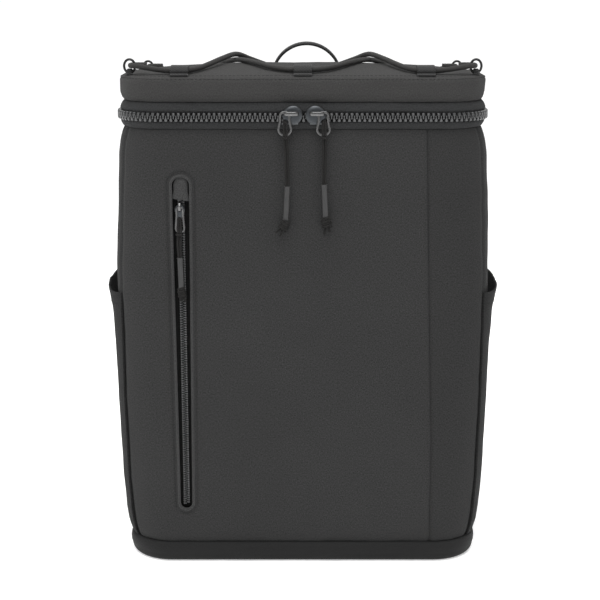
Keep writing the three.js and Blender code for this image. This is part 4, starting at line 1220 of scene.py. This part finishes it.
def band_tape(name, node, seam_z, edge_z, neck, bulge):
    """A tape from its seam to the middle of the zip, bulging out between them."""
    s = band_columns()
    share = np.linspace(0, 1, 14)
    grid_s, grid_t = np.meshgrid(s, share, indexing="ij")
    z = seam_z + (edge_z - seam_z) * grid_t
    swell = np.sin(np.clip(grid_t / 0.62, 0, 1) * math.pi * 0.5) ** 0.8
    out = -neck + (neck + bulge) * swell - (bulge + 0.9) * smooth((grid_t - 0.55) / 0.2)
    field = np.stack([grid_s, z], -1)
    out = out + 0.25 * wobble(field * [1, 0.4], 14, 51) * (1 - grid_t) + 0.2 * wobble(field, 50, 52)
    uv = np.stack([grid_s, grid_t * abs(edge_z - seam_z)], -1)
    piece(name, wall_slab(grid_s, z, out, 1.1, uv), tape_cloth, [node], 60)


band_tape("tape_lower", "zip_tape_lower", BODY_TOP + SEAT, CHAIN_Z - 0.25, 3.0, 0.25)
band_tape("tape_upper", "zip_tape_upper", LID_BOTTOM - SEAT, CHAIN_Z + 0.25, 3.4, 0.35)

TOOTH_PITCH = 4.16
MAIN_TOOTH = (1.33, 3.7, 2.2)
TOOTH_LIFT = 0.35


def tape_edges():
    """The corded edges of the tapes, under the teeth, in near-black painted shade that darkens the gaps
    between the teeth.
    """
    s = band_columns()
    t = np.linspace(-1, 1, 9)
    grid_s, grid_t = np.meshgrid(s, t, indexing="ij")
    z = CHAIN_Z + grid_t * 3.3
    out = -0.1 - 0.6 * grid_t ** 2 - 0.5 * bell(grid_t, 0.15)
    cord = wall_slab(grid_s, z, out, 1.4, np.stack([grid_s, z], -1))
    piece("tape_edges", cord, tape_cloth_painted_shade, (), 60)


tape_edges()


def main_teeth():
    half = BAND_END_S - 3
    s = np.arange(-half, half, TOOTH_PITCH)
    shape = tooth_rings(*MAIN_TOOTH)
    parts = []
    for side in (-1, 1):
        at = s + (TOOTH_PITCH / 2 if side > 0 else 0)
        plan, normal = outline(at)
        places = np.column_stack([plan + normal * TOOTH_LIFT, np.full_like(at, CHAIN_Z)])
        outs = np.column_stack([normal, np.zeros_like(at)])
        ups = np.tile([0, 0, -side * 1.0], (len(at), 1))
        sides = np.cross(ups, outs)
        parts.append(teeth_part(places, sides, ups, outs, shape))
    piece("main_teeth", parts, tooth_resin, ["zip_chain"], 30)


main_teeth()


def hinge_band():
    start = BAND_END_S + 0.4
    s = np.linspace(start, 2 * HALF_ROUND - start, 110)
    s = np.where(s > HALF_ROUND, s - 2 * HALF_ROUND, s)
    t = np.linspace(0, 1, 14)
    grid_s, grid_t = np.meshgrid(s, t, indexing="ij")
    z = BODY_TOP + SEAT + (LID_BOTTOM - BODY_TOP - 2 * SEAT) * grid_t
    out = -3.0 + 2.6 * np.sin(math.pi * grid_t) ** 0.7 + 0.2 * wobble(np.stack([grid_s, z], -1), 40, 53)
    way = np.linspace(0, 2 * (HALF_ROUND - start), len(s))
    uv = np.stack([np.broadcast_to(way[:, None], grid_t.shape), grid_t * 22], -1)
    band = wall_slab(grid_s, z, out, 1.8, uv)
    piece("hinge_cloth", band, body_cloth, ["lid_hinge_band"], 60)


hinge_band()


# Sliders, bails and pullers

CHAIN_FRONT = 2.2
SLIDER_BACK = FRONT - CHAIN_FRONT - SEAT
PAIR_X = 1.0
SLIDER_OFF = 9.5
SLIDER_LIFT = 2.0


def teardrop(length, wide, narrow):
    """Outline with its wide end at the origin and its narrow end at -X."""
    count = 20
    big, small = wide / 2, narrow / 2
    reach = length - big - small
    lean = math.asin((big - small) / reach)
    a = np.linspace(-math.pi / 2 - lean, math.pi / 2 + lean, count)
    b = np.linspace(math.pi / 2 + lean, 1.5 * math.pi - lean, count)
    head = np.stack([big * np.cos(a), big * np.sin(a)], 1)
    tail = np.stack([-reach + small * np.cos(b), small * np.sin(b)], 1)
    return np.vstack([head, tail])


def plate_part(shape, layers, centre):
    """A plate built up from its outline: layers give the way out and the outline's scale."""
    centre = np.array(centre, float)
    rings = []
    for out, scale in layers:
        flat = centre + (shape - centre) * scale
        rings.append(np.stack([flat[:, 0], np.full(len(flat), -out), flat[:, 1]], 1))
    return grid_part(np.array(rings))


def bar_sweep(path, width, thickness, across, radius=0.5):
    sides, ups = fixed_frames(np.asarray(path, float), across)
    return sweep_part(np.asarray(path, float), rounded_box_section(width, thickness, radius), sides, ups)


def bail_part(length, height, window, thickness):
    half = length / 2 - thickness / 2
    out = -(window + thickness / 2)
    chosen = [(-half, 1.2, 0), (-half, out * 0.55, 0), (-half + 1.5, out * 0.96, 0), (0, out * 1.02, 0),
              (half - 1.5, out * 0.96, 0), (half, out * 0.55, 0), (half, 1.2, 0)]
    return bar_sweep(catmull(chosen, 6), height, thickness, (0, 0, 1), 0.55)


def moved(part, offset, mirror=False):
    points = part.points * ([-1, 1, 1] if mirror else 1)
    return Part(points + np.array(offset), part.faces, part.uvs)


SLIDER_LAYERS = [(0.0, 0.97), (0.25, 1.0), (1.3, 1.0), (1.75, 0.965), (2.1, 0.9), (2.35, 0.7), (2.42, 0.3)]
FLANGE_START, FLANGE_END = -8.64, 4.6
FLANGE_Z, FLANGE_THICKNESS = 3.65, 1.5


def slider_flange(side):
    z = side * (FLANGE_Z + SEAT + FLANGE_THICKNESS / 2)
    path = np.array([(FLANGE_START, -0.4, z), (FLANGE_END, -0.4, z)])
    return bar_sweep(evenly(path, 2), FLANGE_THICKNESS, 3.4, (0, 0, 1), 0.4)


def main_sliders():
    plate = plate_part(teardrop(17, 15.6, 10), SLIDER_LAYERS, (-3.5, 0))
    body = [moved(plate, (0.5, 0, SLIDER_LIFT)), slider_flange(-1), slider_flange(1)]
    bail = moved(bail_part(12, 3.4, 2.5, 1.5), (-1, -2.2, 1.5 + SLIDER_LIFT))
    for side, name in SIDE_NAMES.items():
        offset = (side * SLIDER_OFF + PAIR_X, SLIDER_BACK, CHAIN_Z)
        parts = [moved(part, offset, side > 0) for part in body]
        piece(f"{name}_slider_body", parts, slider_metal, [f"{name}_slider"], 40)
        piece(f"{name}_slider_bail", moved(bail, offset, side > 0), bail_metal, (), 40)


main_sliders()


def puller_part(top_width, foot_width, height, wire, thickness):
    """A flat loop of stamped metal: narrow shoulders, and a wide round foot."""
    top, foot = (top_width - wire) / 2, (foot_width - wire) / 2
    chosen = []
    for i in range(9):
        turn = math.pi * i / 8
        chosen.append((top * math.cos(turn), -wire / 2 - 0.55 * top + 0.55 * top * math.sin(turn)))
    chosen.append((-top * 1.02, -height * 0.36))
    for i in range(13):
        turn = math.pi + math.pi * i / 12
        chosen.append((foot * math.cos(turn), -height + foot + wire / 2 + foot * math.sin(turn)))
    chosen.append((top * 1.02, -height * 0.36))
    chosen.append(chosen[0])
    loop = catmull([(x, 0, z) for x, z in chosen], 3)[:-1]
    sides = unit(np.cross(tangents(loop, True), [0, 1.0, 0]))
    ups = np.broadcast_to(np.array([0, 1.0, 0]), loop.shape)
    return sweep_part(loop, rounded_box_section(wire, thickness, 0.5), sides, ups, closed=True)


def main_pullers():
    loop = puller_part(9.4, 12.1, 20.5, 1.9, 1.6)
    for name in SIDE_NAMES.values():
        low, high = node_box(f"{name}_puller")
        middle = (low + high) / 2 - SHIFT
        part = moved(loop, (middle[0], middle[1], high[2]))
        piece(f"{name}_puller_loop", part, puller_metal, [f"{name}_puller"], 40)


main_pullers()


POCKET_SLIDER_LAYERS = [(0.0, 0.95), (0.3, 1.0), (1.4, 1.0), (1.9, 0.9), (2.2, 0.75), (2.1, 0.4)]
POCKET_BAIL_HALF = [(0, 5.2, 3.2), (0, 1.6, 3.0), (0, 0.6, 1.4)]


def pocket_zip_pull():
    low, high = node_box("pocket_slider")
    shape = teardrop(12, 8.4, 5.9)[:, ::-1]
    body = plate_part(shape, POCKET_SLIDER_LAYERS, (0, 3))
    depth = low[1] - SHIFT[1]
    x, middle = SLOT_X - 0.8, (low[2] + high[2]) / 2
    body = moved(body, (x, depth + 5.0, middle - 1.8))
    path = POCKET_BAIL_HALF + [(0, 0.5, 0)] + [(0, y, -z) for _, y, z in POCKET_BAIL_HALF[::-1]]
    bail = bar_sweep(catmull(path, 5) + [x, depth, middle + 0.5], 2.2, 1.3, (1, 0, 0))
    piece("pocket_slider_body", body, slider_metal, ["pocket_slider"], 40)
    piece("pocket_slider_bail", bail, bail_metal, (), 40)
    low, high = node_box("pocket_puller")
    middle = (low + high) / 2 - SHIFT
    loop = moved(puller_part(6.9, 8.6, 22, 1.6, 1.5), (middle[0], middle[1], high[2]))
    piece("pocket_puller_loop", loop, puller_metal, ["pocket_puller"], 40)


pocket_zip_pull()


# Side pockets

POCKET_TOP = 239.0
POCKET_GAPE = 11.0
POCKET_WALL = 1.6
POCKET_REAR_S = SIDE_END + CORNER * math.asin(15 / CORNER)
POCKET_PROFILE = ([0, 0.3, 0.6, 0.8, 0.92, 1.0], [0.02, 0.06, 0.12, 0.3, 0.55, 1.0])
HEM = 12.0


def pocket_surface(side, s, z):
    """How far a side pocket's face stands out from the body: it gapes at its mouth and creases."""
    share = (s - SEAM_S) / (POCKET_REAR_S - SEAM_S)
    rise = (z - BASE_TOP) / (POCKET_TOP - BASE_TOP)
    gape = POCKET_GAPE * np.interp(rise, *POCKET_PROFILE)
    bulge = np.sin(math.pi * np.clip(share, 0, 1)) ** 0.7
    field = np.stack([s, z], -1)
    drape = 0.5 * wobble(field * [1, 0.3], 40, 61 + side) * rise + 0.2 * wobble(field, 22, 63 + side)
    for start, reach in ((0.0, 34), (1.0, 26)):
        away = np.abs(share - start) * (POCKET_REAR_S - SEAM_S)
        line = POCKET_TOP - 14 - away * 1.3
        drape = drape + 0.9 * bell(z - line, 9) * np.exp(-away / reach) * smooth(away / 8)
    hem = smooth((z - (POCKET_TOP - HEM)) / 1.2)
    stitch_line = bell(z - (POCKET_TOP - HEM + 1.5), 0.7)
    return SEAT + POCKET_WALL + bulge * (gape + drape + 0.5 * hem - 0.5 * stitch_line), bulge, hem


def side_pocket(side):
    s = np.linspace(SEAM_S, POCKET_REAR_S, 66)
    z = BASE_TOP + SEAT + (POCKET_TOP - BASE_TOP - SEAT) * np.linspace(0, 1, 80)
    grid_s, grid_z = np.meshgrid(s, z)
    out, bulge, hem = pocket_surface(side, grid_s, grid_z)
    out = out - tuck(grid_z - BASE_TOP, FOOT_TUCK)
    height = grid_z - 1.6 * bulge * smooth((grid_z - 180) / 60)
    lip = bell(grid_z - POCKET_TOP, 1.0)
    floor = np.minimum(0.3, 0.3 - tuck(grid_z - BASE_TOP, FOOT_TUCK))
    front = place(side * grid_s, height, out - 0.3 * lip)
    back = place(side * grid_s, height, np.maximum(out - POCKET_WALL - 0.5 * hem + 0.3 * lip, floor))
    name = SIDE_NAMES[side]
    piece(f"{name}_pocket_cloth", slab_part(front, back, np.stack([grid_s, grid_z], -1)), pocket_cloth,
          [f"{name}_side_pocket"], 60)


def hem_stitches(side):
    s = np.linspace(SEAM_S + 3, POCKET_REAR_S - 2, 60)
    z = np.full_like(s, POCKET_TOP - HEM + 1.5)
    out, bulge, _ = pocket_surface(side, s, z)
    path = evenly(place(side * s, z - 1.6 * bulge * smooth((z - 180) / 60), out), STITCH_PITCH)
    outs = unit(np.stack([side * np.ones(len(path)), np.zeros(len(path)), np.zeros(len(path))], 1))
    name = SIDE_NAMES[side]
    piece(f"{name}_hem_stitches", stitch_row(path, outs), thread)


for side in SIDE_NAMES:
    side_pocket(side)
    hem_stitches(side)


# Webbing: loops and ring tabs on the lid, and the haul handle

RIB_PITCH = 1.25
RIB_RELIEF = 0.09


def webbing_part(path, width, thickness, across):
    """A flat webbing strip with ribs along it and rounded edges."""
    path = np.asarray(path, float)
    columns = max(9, int(width / RIB_PITCH) * 4 + 1)
    c = np.linspace(-1, 1, columns)
    ridge = RIB_RELIEF * np.cos(c * width / RIB_PITCH * math.pi)
    edge = np.sqrt(np.clip(1 - np.maximum(np.abs(c) - (1 - thickness / width), 0) ** 2
                           / (thickness / width) ** 2, 0.02, 1))
    upper = np.stack([c * width / 2, thickness / 2 * edge + ridge * edge], 1)
    lower = np.stack([c[::-1] * width / 2, -thickness / 2 * edge[::-1] - ridge[::-1] * edge[::-1]], 1)
    section = np.vstack([upper, lower])
    sides, ups = fixed_frames(path, across)
    return sweep_part(path, section, sides, ups)


def webbing_strip(name, path, width, thickness, across=(1, 0, 0)):
    """A strip in place of the solid of this name."""
    strip = webbing_part(path, width, thickness, across)
    piece(f"{name}_ribbed", strip, webbing, [name], 50)


def arch_path(x, y, span, foot, height, thickness):
    """A loop's route over the lid, whose feet follow its surface."""
    low = thickness / 2
    high = height + thickness / 2
    half = span / 2 + thickness / 2
    chosen = [(-half - foot, low), (-half - foot * 0.4, low), (-half, low + 0.35), (-half + 0.1, high * 0.6),
              (-half * 0.68, high * 0.97), (0, high * 1.03), (half * 0.68, high * 0.97),
              (half - 0.1, high * 0.6), (half, low + 0.35), (half + foot * 0.4, low), (half + foot, low)]
    return np.array([(x, y + along, lid_surface(x, y + along) + SEAT + up)
                     for along, up in catmull(chosen, 5)])


WEBBING_THICKNESS = 1.5
LOOP_ROW_Y, LOOP_COLUMN_X = 80.0, 101.0
LOOP_WIDTH, LOOP_SPAN, LOOP_FOOT, LOOP_HEIGHT = 15, 12, 5, 5.3


def webbing_loop(row, column):
    path = arch_path(column * LOOP_COLUMN_X, row * LOOP_ROW_Y, LOOP_SPAN, LOOP_FOOT, LOOP_HEIGHT,
                     WEBBING_THICKNESS)
    webbing_strip(f"{ROW_NAMES[row]}_webbing_loop_{column + 2}", path, LOOP_WIDTH, WEBBING_THICKNESS)


RING_X, RING_Y, RING_Z = 143.0, 72.0, 6.5
RING_HALF_WIDTH, RING_HALF_HEIGHT, RING_WIRE = 4.5, 5.5, 1.0
TAB_WIDTH, TAB_SPAN, TAB_FOOT, TAB_HEIGHT = 4.5, 2.6, 3, 3.2


def corner_ring(row, side):
    """A ring of wire that stands on the lid, and the tab of webbing that holds it."""
    name = f"{ROW_NAMES[row]}_{SIDE_NAMES[side]}_ring"
    x, y = side * RING_X, row * RING_Y
    middle = lid_surface(x, y) + 2 * SEAT + RING_Z
    turn = np.linspace(0, 2 * math.pi, 48, endpoint=False)
    loop = np.stack([x + np.cos(turn) * RING_HALF_WIDTH, np.full_like(turn, y),
                     middle + np.sin(turn) * RING_HALF_HEIGHT], 1)
    wire = tube_part(loop, RING_WIRE, 14, (0, 1, 0), closed=True)
    piece(f"{name}_wire", wire, ring_paint, [name])
    path = arch_path(x, y, TAB_SPAN, TAB_FOOT, TAB_HEIGHT, WEBBING_THICKNESS)
    webbing_strip(f"{name}_tab", path, TAB_WIDTH, WEBBING_THICKNESS)


for row in ROW_NAMES:
    for column in (-1, 0, 1):
        webbing_loop(row, column)
for row in ROW_NAMES:
    for side in SIDE_NAMES:
        corner_ring(row, side)

HAUL_WIDTH, HAUL_THICKNESS = 22, 2.5


def haul_handle():
    low, high = node_box("haul_handle")
    y = (low[1] + high[1]) / 2 - SHIFT[1]
    middle = (low[0] + high[0]) / 2
    radius = (high[0] - low[0]) / 2 - HAUL_THICKNESS / 2
    centre = high[2] - radius - HAUL_THICKNESS / 2
    turn = np.linspace(0, math.pi, 40)
    legs = np.linspace(low[2], centre, 10)[:-1]
    path = [(middle + radius, y, z) for z in legs]
    path += [(middle + radius * math.cos(t), y, centre + radius * math.sin(t)) for t in turn]
    path += [(middle - radius, y, z) for z in legs[::-1]]
    webbing_strip("haul_handle", path, HAUL_WIDTH, HAUL_THICKNESS, (0, 1, 0))


haul_handle()


# Bungee cords, on the solids' route: X, Y and height above the lid's surface, from a tail to the middle

BUNGEE = 4.4
BUNGEE_END = [
    (-129, -68.2, 7), (-134, -68.3, 7.3), (-138.5, -68.4, 7.5), (-141.1, -69.4, 7.6),
    (-142.2, -72, 7.6), (-141.1, -74.6, 7.6), (-138.5, -75.7, 7.5), (-131, -77.1, 6.2),
    (-120, -79.2, 4.4), (-109, -80, 3.1), (-101, -80, 2.9), (-94, -79, 3.1), (-87, -72, 3.3),
    (-78, -52, 3.9), (-69, -28, 5.2),
]
BUNGEE_BEYOND = [
    (-47, 28, 5), (-35, 52, 3.6), (-22, 72, 3.1), (-10, 79, 3.1), (0, 80, 2.9),
]
CROSSING_X = -58
UPPER_CROSSING, LOWER_CROSSING = 7.4, 2.6


def bungee_route(flip, crossing):
    share = (crossing - 3) / (UPPER_CROSSING - 3)
    lift = lambda x, up: min(up, 3 + (up - 3) * share) if x > -92 else up
    on_lid = lambda x, y, up: (x, y, lid_surface(x, y) + up)
    left = [on_lid(x, flip * y, lift(x, up)) for x, y, up in BUNGEE_END]
    left.append(on_lid(CROSSING_X, 0, crossing))
    left += [on_lid(x, flip * y, lift(x, up)) for x, y, up in BUNGEE_BEYOND]
    return np.array(left + [(-x, y, z) for x, y, z in left[:-1]][::-1])


BRAID_STRANDS = 8
BRAID_PITCH = 9.0
BRAID_RELIEF = 0.05


def braided_part(path, diameter):
    """A round cord whose surface rises and falls with a diagonal braid."""
    round_turn = BRAID_STRANDS * np.linspace(0, 2 * math.pi, 24, endpoint=False)[None]
    along_turn = 2 * math.pi * lengths_along(path)[:, None] * BRAID_STRANDS / 2 / BRAID_PITCH
    wave = np.maximum(np.sin(round_turn + along_turn), np.sin(round_turn - along_turn))
    turn = np.linspace(0, 2 * math.pi, 24, endpoint=False)
    radius = diameter / 2 * (1 - BRAID_RELIEF / 2 + BRAID_RELIEF * wave)
    section = np.stack([np.cos(turn)[None] * radius, np.sin(turn)[None] * radius], -1)
    side, up = carried_frames(path, (0, 0, 1))
    return sweep_part(path, section, side, up)


def bungee_cord(name, flip, crossing):
    path = evenly(catmull(bungee_route(flip, crossing), 12), 0.8)
    piece(f"{name}_braid", braided_part(path, BUNGEE), cord_cloth, [name], 70)


bungee_cord("bungee_cord_upper", 1, UPPER_CROSSING)
bungee_cord("bungee_cord_lower", -1, LOWER_CROSSING)


# Back panel and harness, finished plainly

def back_panel():
    low, high = node_box("back_panel")
    low, high = low - SHIFT, high - SHIFT
    x = np.linspace(low[0], high[0], 86)
    z = np.linspace(low[2], high[2], 116)
    grid_x, grid_z = np.meshgrid(x, z)
    edge = np.minimum.reduce([grid_x - low[0], high[0] - grid_x, grid_z - low[2], high[2] - grid_z])
    crown = smooth(edge / 14) ** 0.6
    channels = bell(grid_x, 3.2) + bell(np.abs(grid_x) - 62, 2.6)
    inner = smooth((edge - 16) / 10)
    depth = low[1] + 4 + (high[1] - low[1] - 4.2) * crown - 3.2 * channels * inner
    depth = depth + 0.25 * wobble(np.stack([grid_x, grid_z], -1), 50, 71) * inner
    front = np.stack([grid_x, depth, grid_z], -1)
    back = np.stack([grid_x, np.full_like(depth, low[1] + 0.2), grid_z], -1)
    uv = np.stack([grid_x, grid_z], -1)
    made = piece("back_pad", slab_part(front, back, uv), mesh_cloth, ["back_panel"], 60)


back_panel()

STRAP_WIDTH, STRAP_THICKNESS = 62.0, 11.0
STRAP_TOP_X, STRAP_BOTTOM_X = 44.0, 82.0
STRAP_TOP_Z, STRAP_BOTTOM_Z = 366.0, 122.0
STRAP_BOW = 20.0
BACK_FACE = BACK + SEAT + 14
STRAP_PROFILE = {
    "run": [0, 0.08, 0.2, 0.35, 0.52, 0.7, 0.86, 0.95, 1],
    "bow": [0, 0.06, 0.52, 0.88, 1, 0.9, 0.66, 0.5, 0.42],
    "width": [0.92, 0.98, 1, 1, 1, 0.96, 0.86, 0.68, 0.5],
    "thick": [0.8, 1, 1, 1, 1, 1, 1, 0.9, 0.6],
}


def shoulder_strap(side):
    run = np.linspace(0, 1, 80)
    table = catmull(np.stack([STRAP_PROFILE[k] for k in ("run", "bow", "width", "thick")], 1), 8)
    bow, width, thick = (np.interp(run, table[:, 0], table[:, k]) for k in (1, 2, 3))
    x = STRAP_TOP_X + (STRAP_BOTTOM_X - STRAP_TOP_X) * run ** 1.2
    z = STRAP_TOP_Z + (STRAP_BOTTOM_Z - STRAP_TOP_Z) * run
    y = BACK_FACE + SEAT + thick * STRAP_THICKNESS / 2 + bow * STRAP_BOW
    path = np.stack([side * x, y, z], 1)
    c = np.linspace(-1, 1, 33)
    plump = np.clip(1 - np.abs(c) ** 5, 0, 1) ** 0.7
    groove = 0.14 * bell(np.abs(c) - 0.82, 0.035)
    rings = []
    for i in range(len(run)):
        half_x, half_y = width[i] * STRAP_WIDTH / 2, thick[i] * STRAP_THICKNESS / 2
        up = half_y * (0.28 + 0.72 * plump - groove)
        top = np.stack([c * half_x, up], 1)
        bottom = np.stack([c[::-1] * half_x, -up[::-1]], 1)
        rings.append(np.vstack([top, bottom]))
    sides, ups = fixed_frames(path, (1, 0, 0))
    name = SIDE_NAMES[side]
    pad = sweep_part(path, np.array(rings), sides, ups)
    made = piece(f"{name}_strap_pad", pad, mesh_cloth, [f"{name}_shoulder_strap"], 60)
    section = rounded_box_section(3.2, STRAP_THICKNESS * 0.42, 1.4)
    for edge in (-1, 1):
        line = path + np.stack([edge * width * STRAP_WIDTH / 2 * 0.985, 0 * run, 0 * run], 1)
        edge_name = "outer" if edge * side > 0 else "inner"
        binding = sweep_part(line, section, sides, ups)
        piece(f"{name}_strap_binding_{edge_name}", binding, binding_cloth)


shoulder_strap(-1)
shoulder_strap(1)


def buckle_frame(low, high):
    """A ladder buckle: three bars across and two rails."""
    centre = (low + high) / 2 - SHIFT
    half_x, half_z = (high[0] - low[0]) / 2, (high[2] - low[2]) / 2
    bars = []
    for z in (-half_z + 2, 0, half_z - 2):
        path = np.array([(-half_x + 1.5, 0, z), (half_x - 1.5, 0, z)]) + centre
        bars.append(bar_sweep(evenly(path, 3), 4.0 if z else 4.4, 4.6, (0, 0, 1), 1.4))
    for x in (-half_x + 2, half_x - 2):
        path = np.array([(x, 0, -half_z + 0.4), (x, 0, half_z - 0.4)]) + centre
        bars.append(bar_sweep(evenly(path, 3), 3.8, 5.0, (1, 0, 0), 1.4))
    return bars


def anchor_patch(anchor_low, anchor_high):
    """The folded cloth patch that the strap's webbing is sewn under."""
    anchor = (anchor_low + anchor_high) / 2 - SHIFT
    half = (anchor_high[0] - anchor_low[0]) / 2
    rows = np.linspace(0, 1, 14)
    c = np.linspace(-1, 1, 21)
    front, back = [], []
    for r in rows:
        x = anchor[0] + c * half * (1 - 0.24 * r)
        z = np.full_like(x, anchor_low[2] + (anchor_high[2] - anchor_low[2]) * r)
        round_edge = 1.3 * np.abs(c) ** 6 + 0.8 * bell(r, 0.06) + 0.8 * bell(r - 1, 0.06)
        front.append(np.stack([x, anchor[1] + 1.5 - round_edge, z], 1))
        back.append(np.stack([x, np.full_like(x, anchor[1] - 1.5), z], 1))
    return slab_part(np.array(front), np.array(back))


STRAP_WEBBING_WIDTH, STRAP_WEBBING_THICKNESS = 25, 1.8


def harness_end(side):
    """A strap's buckle, the webbing below it and the anchor on the bag's back."""
    name = SIDE_NAMES[side]
    low, high = node_box(f"{name}_strap_buckle")
    anchor_low, anchor_high = node_box(f"{name}_strap_anchor")
    piece(f"{name}_buckle_frame", buckle_frame(low, high), buckle_plastic,
          [f"{name}_strap_buckle"])
    buckle, anchor = (low + high) / 2 - SHIFT, (anchor_low + anchor_high) / 2 - SHIFT
    buckle_x, buckle_y, buckle_z = side * buckle[0], buckle[1], low[2]
    anchor_x, anchor_y = side * anchor[0], anchor[1] + 1.5 + SEAT + 0.9
    chosen = [(buckle_x + 1, buckle_y, buckle_z + 5.2), (buckle_x + 2.5, buckle_y - 0.4, buckle_z - 3),
              (buckle_x + 8, buckle_y - 1.5, buckle_z - 14),
              (anchor_x - 4, anchor_y + 1, anchor_high[2] + 4),
              (anchor_x - 1, anchor_y, anchor_high[2] - 4), (anchor_x, anchor_y, anchor_low[2] + 6)]
    path = catmull([(side * a, b, c) for a, b, c in chosen], 8)
    webbing_strip(f"{name}_strap_webbing", path, STRAP_WEBBING_WIDTH, STRAP_WEBBING_THICKNESS)
    piece(f"{name}_anchor_cloth", anchor_patch(anchor_low, anchor_high), binding_cloth,
          [f"{name}_strap_anchor"])


harness_end(-1)
harness_end(1)


# Floor and light

FLOOR_RADIUS = 60
FLOOR_GLOW = 0.37


def floor():
    bpy.ops.mesh.primitive_circle_add(vertices=96, radius=FLOOR_RADIUS, fill_type="NGON")
    made = bpy.context.object
    made.name = "studio_floor"
    material, _, bsdf = shader("floor_paper", Roughness=0.9, Specular_IOR_Level=0.1)
    bsdf.inputs["Base Color"].default_value = (*grey(0.9), 1)
    bsdf.inputs["Emission Color"].default_value = (*grey(1.0), 1)
    bsdf.inputs["Emission Strength"].default_value = FLOOR_GLOW
    made.data.materials.append(material)


def surroundings():
    """White behind the bag, and a room that is dim at eye level and bright overhead."""
    world = bpy.data.worlds.new("studio_world")
    bpy.context.scene.world = world
    world.use_nodes = True
    tree = world.node_tree
    coordinates = tree.nodes.new("ShaderNodeTexCoord")
    level = components(tree, coordinates.outputs["Generated"])[2]
    height = math_node(tree, "MULTIPLY_ADD", level, 0.5, 0.5)
    shade = ramp_node(tree, height, [(0.45, grey(0.2)), (0.6, grey(0.24)), (0.85, grey(0.9))])
    path = tree.nodes.new("ShaderNodeLightPath")
    mix = tree.nodes.new("ShaderNodeMix")
    mix.data_type = "RGBA"
    tree.links.new(path.outputs["Is Camera Ray"], mix.inputs["Factor"])
    tree.links.new(shade, mix.inputs["A"])
    mix.inputs["B"].default_value = (*grey(1.0), 1)
    tree.links.new(mix.outputs["Result"], tree.nodes["Background"].inputs["Color"])


def softbox(name, spot, target, size, power, glossy=True):
    """A square light; spot and target are in metres."""
    data = bpy.data.lights.new(name, "AREA")
    data.size = size
    data.energy = power
    light = bpy.data.objects.new(name, data)
    bpy.context.scene.collection.objects.link(light)
    light.location = spot
    light.visible_glossy = glossy
    light.rotation_euler = (Vector(target) - Vector(spot)).to_track_quat("-Z", "Y").to_euler()


floor()
surroundings()
softbox("top_softbox", (0.0, -0.5, 2.3), (0, 0, 0.2), 2.0, 46)
softbox("front_softbox", (-0.25, -2.4, 1.7), (0, 0, 0.25), 1.1, 13)
softbox("left_softbox", (-1.9, 0.1, 0.9), (0, 0, 0.3), 0.7, 9, glossy=False)
bpy.context.scene.view_settings.view_transform = "Standard"
bpy.context.scene.view_settings.look = "None"
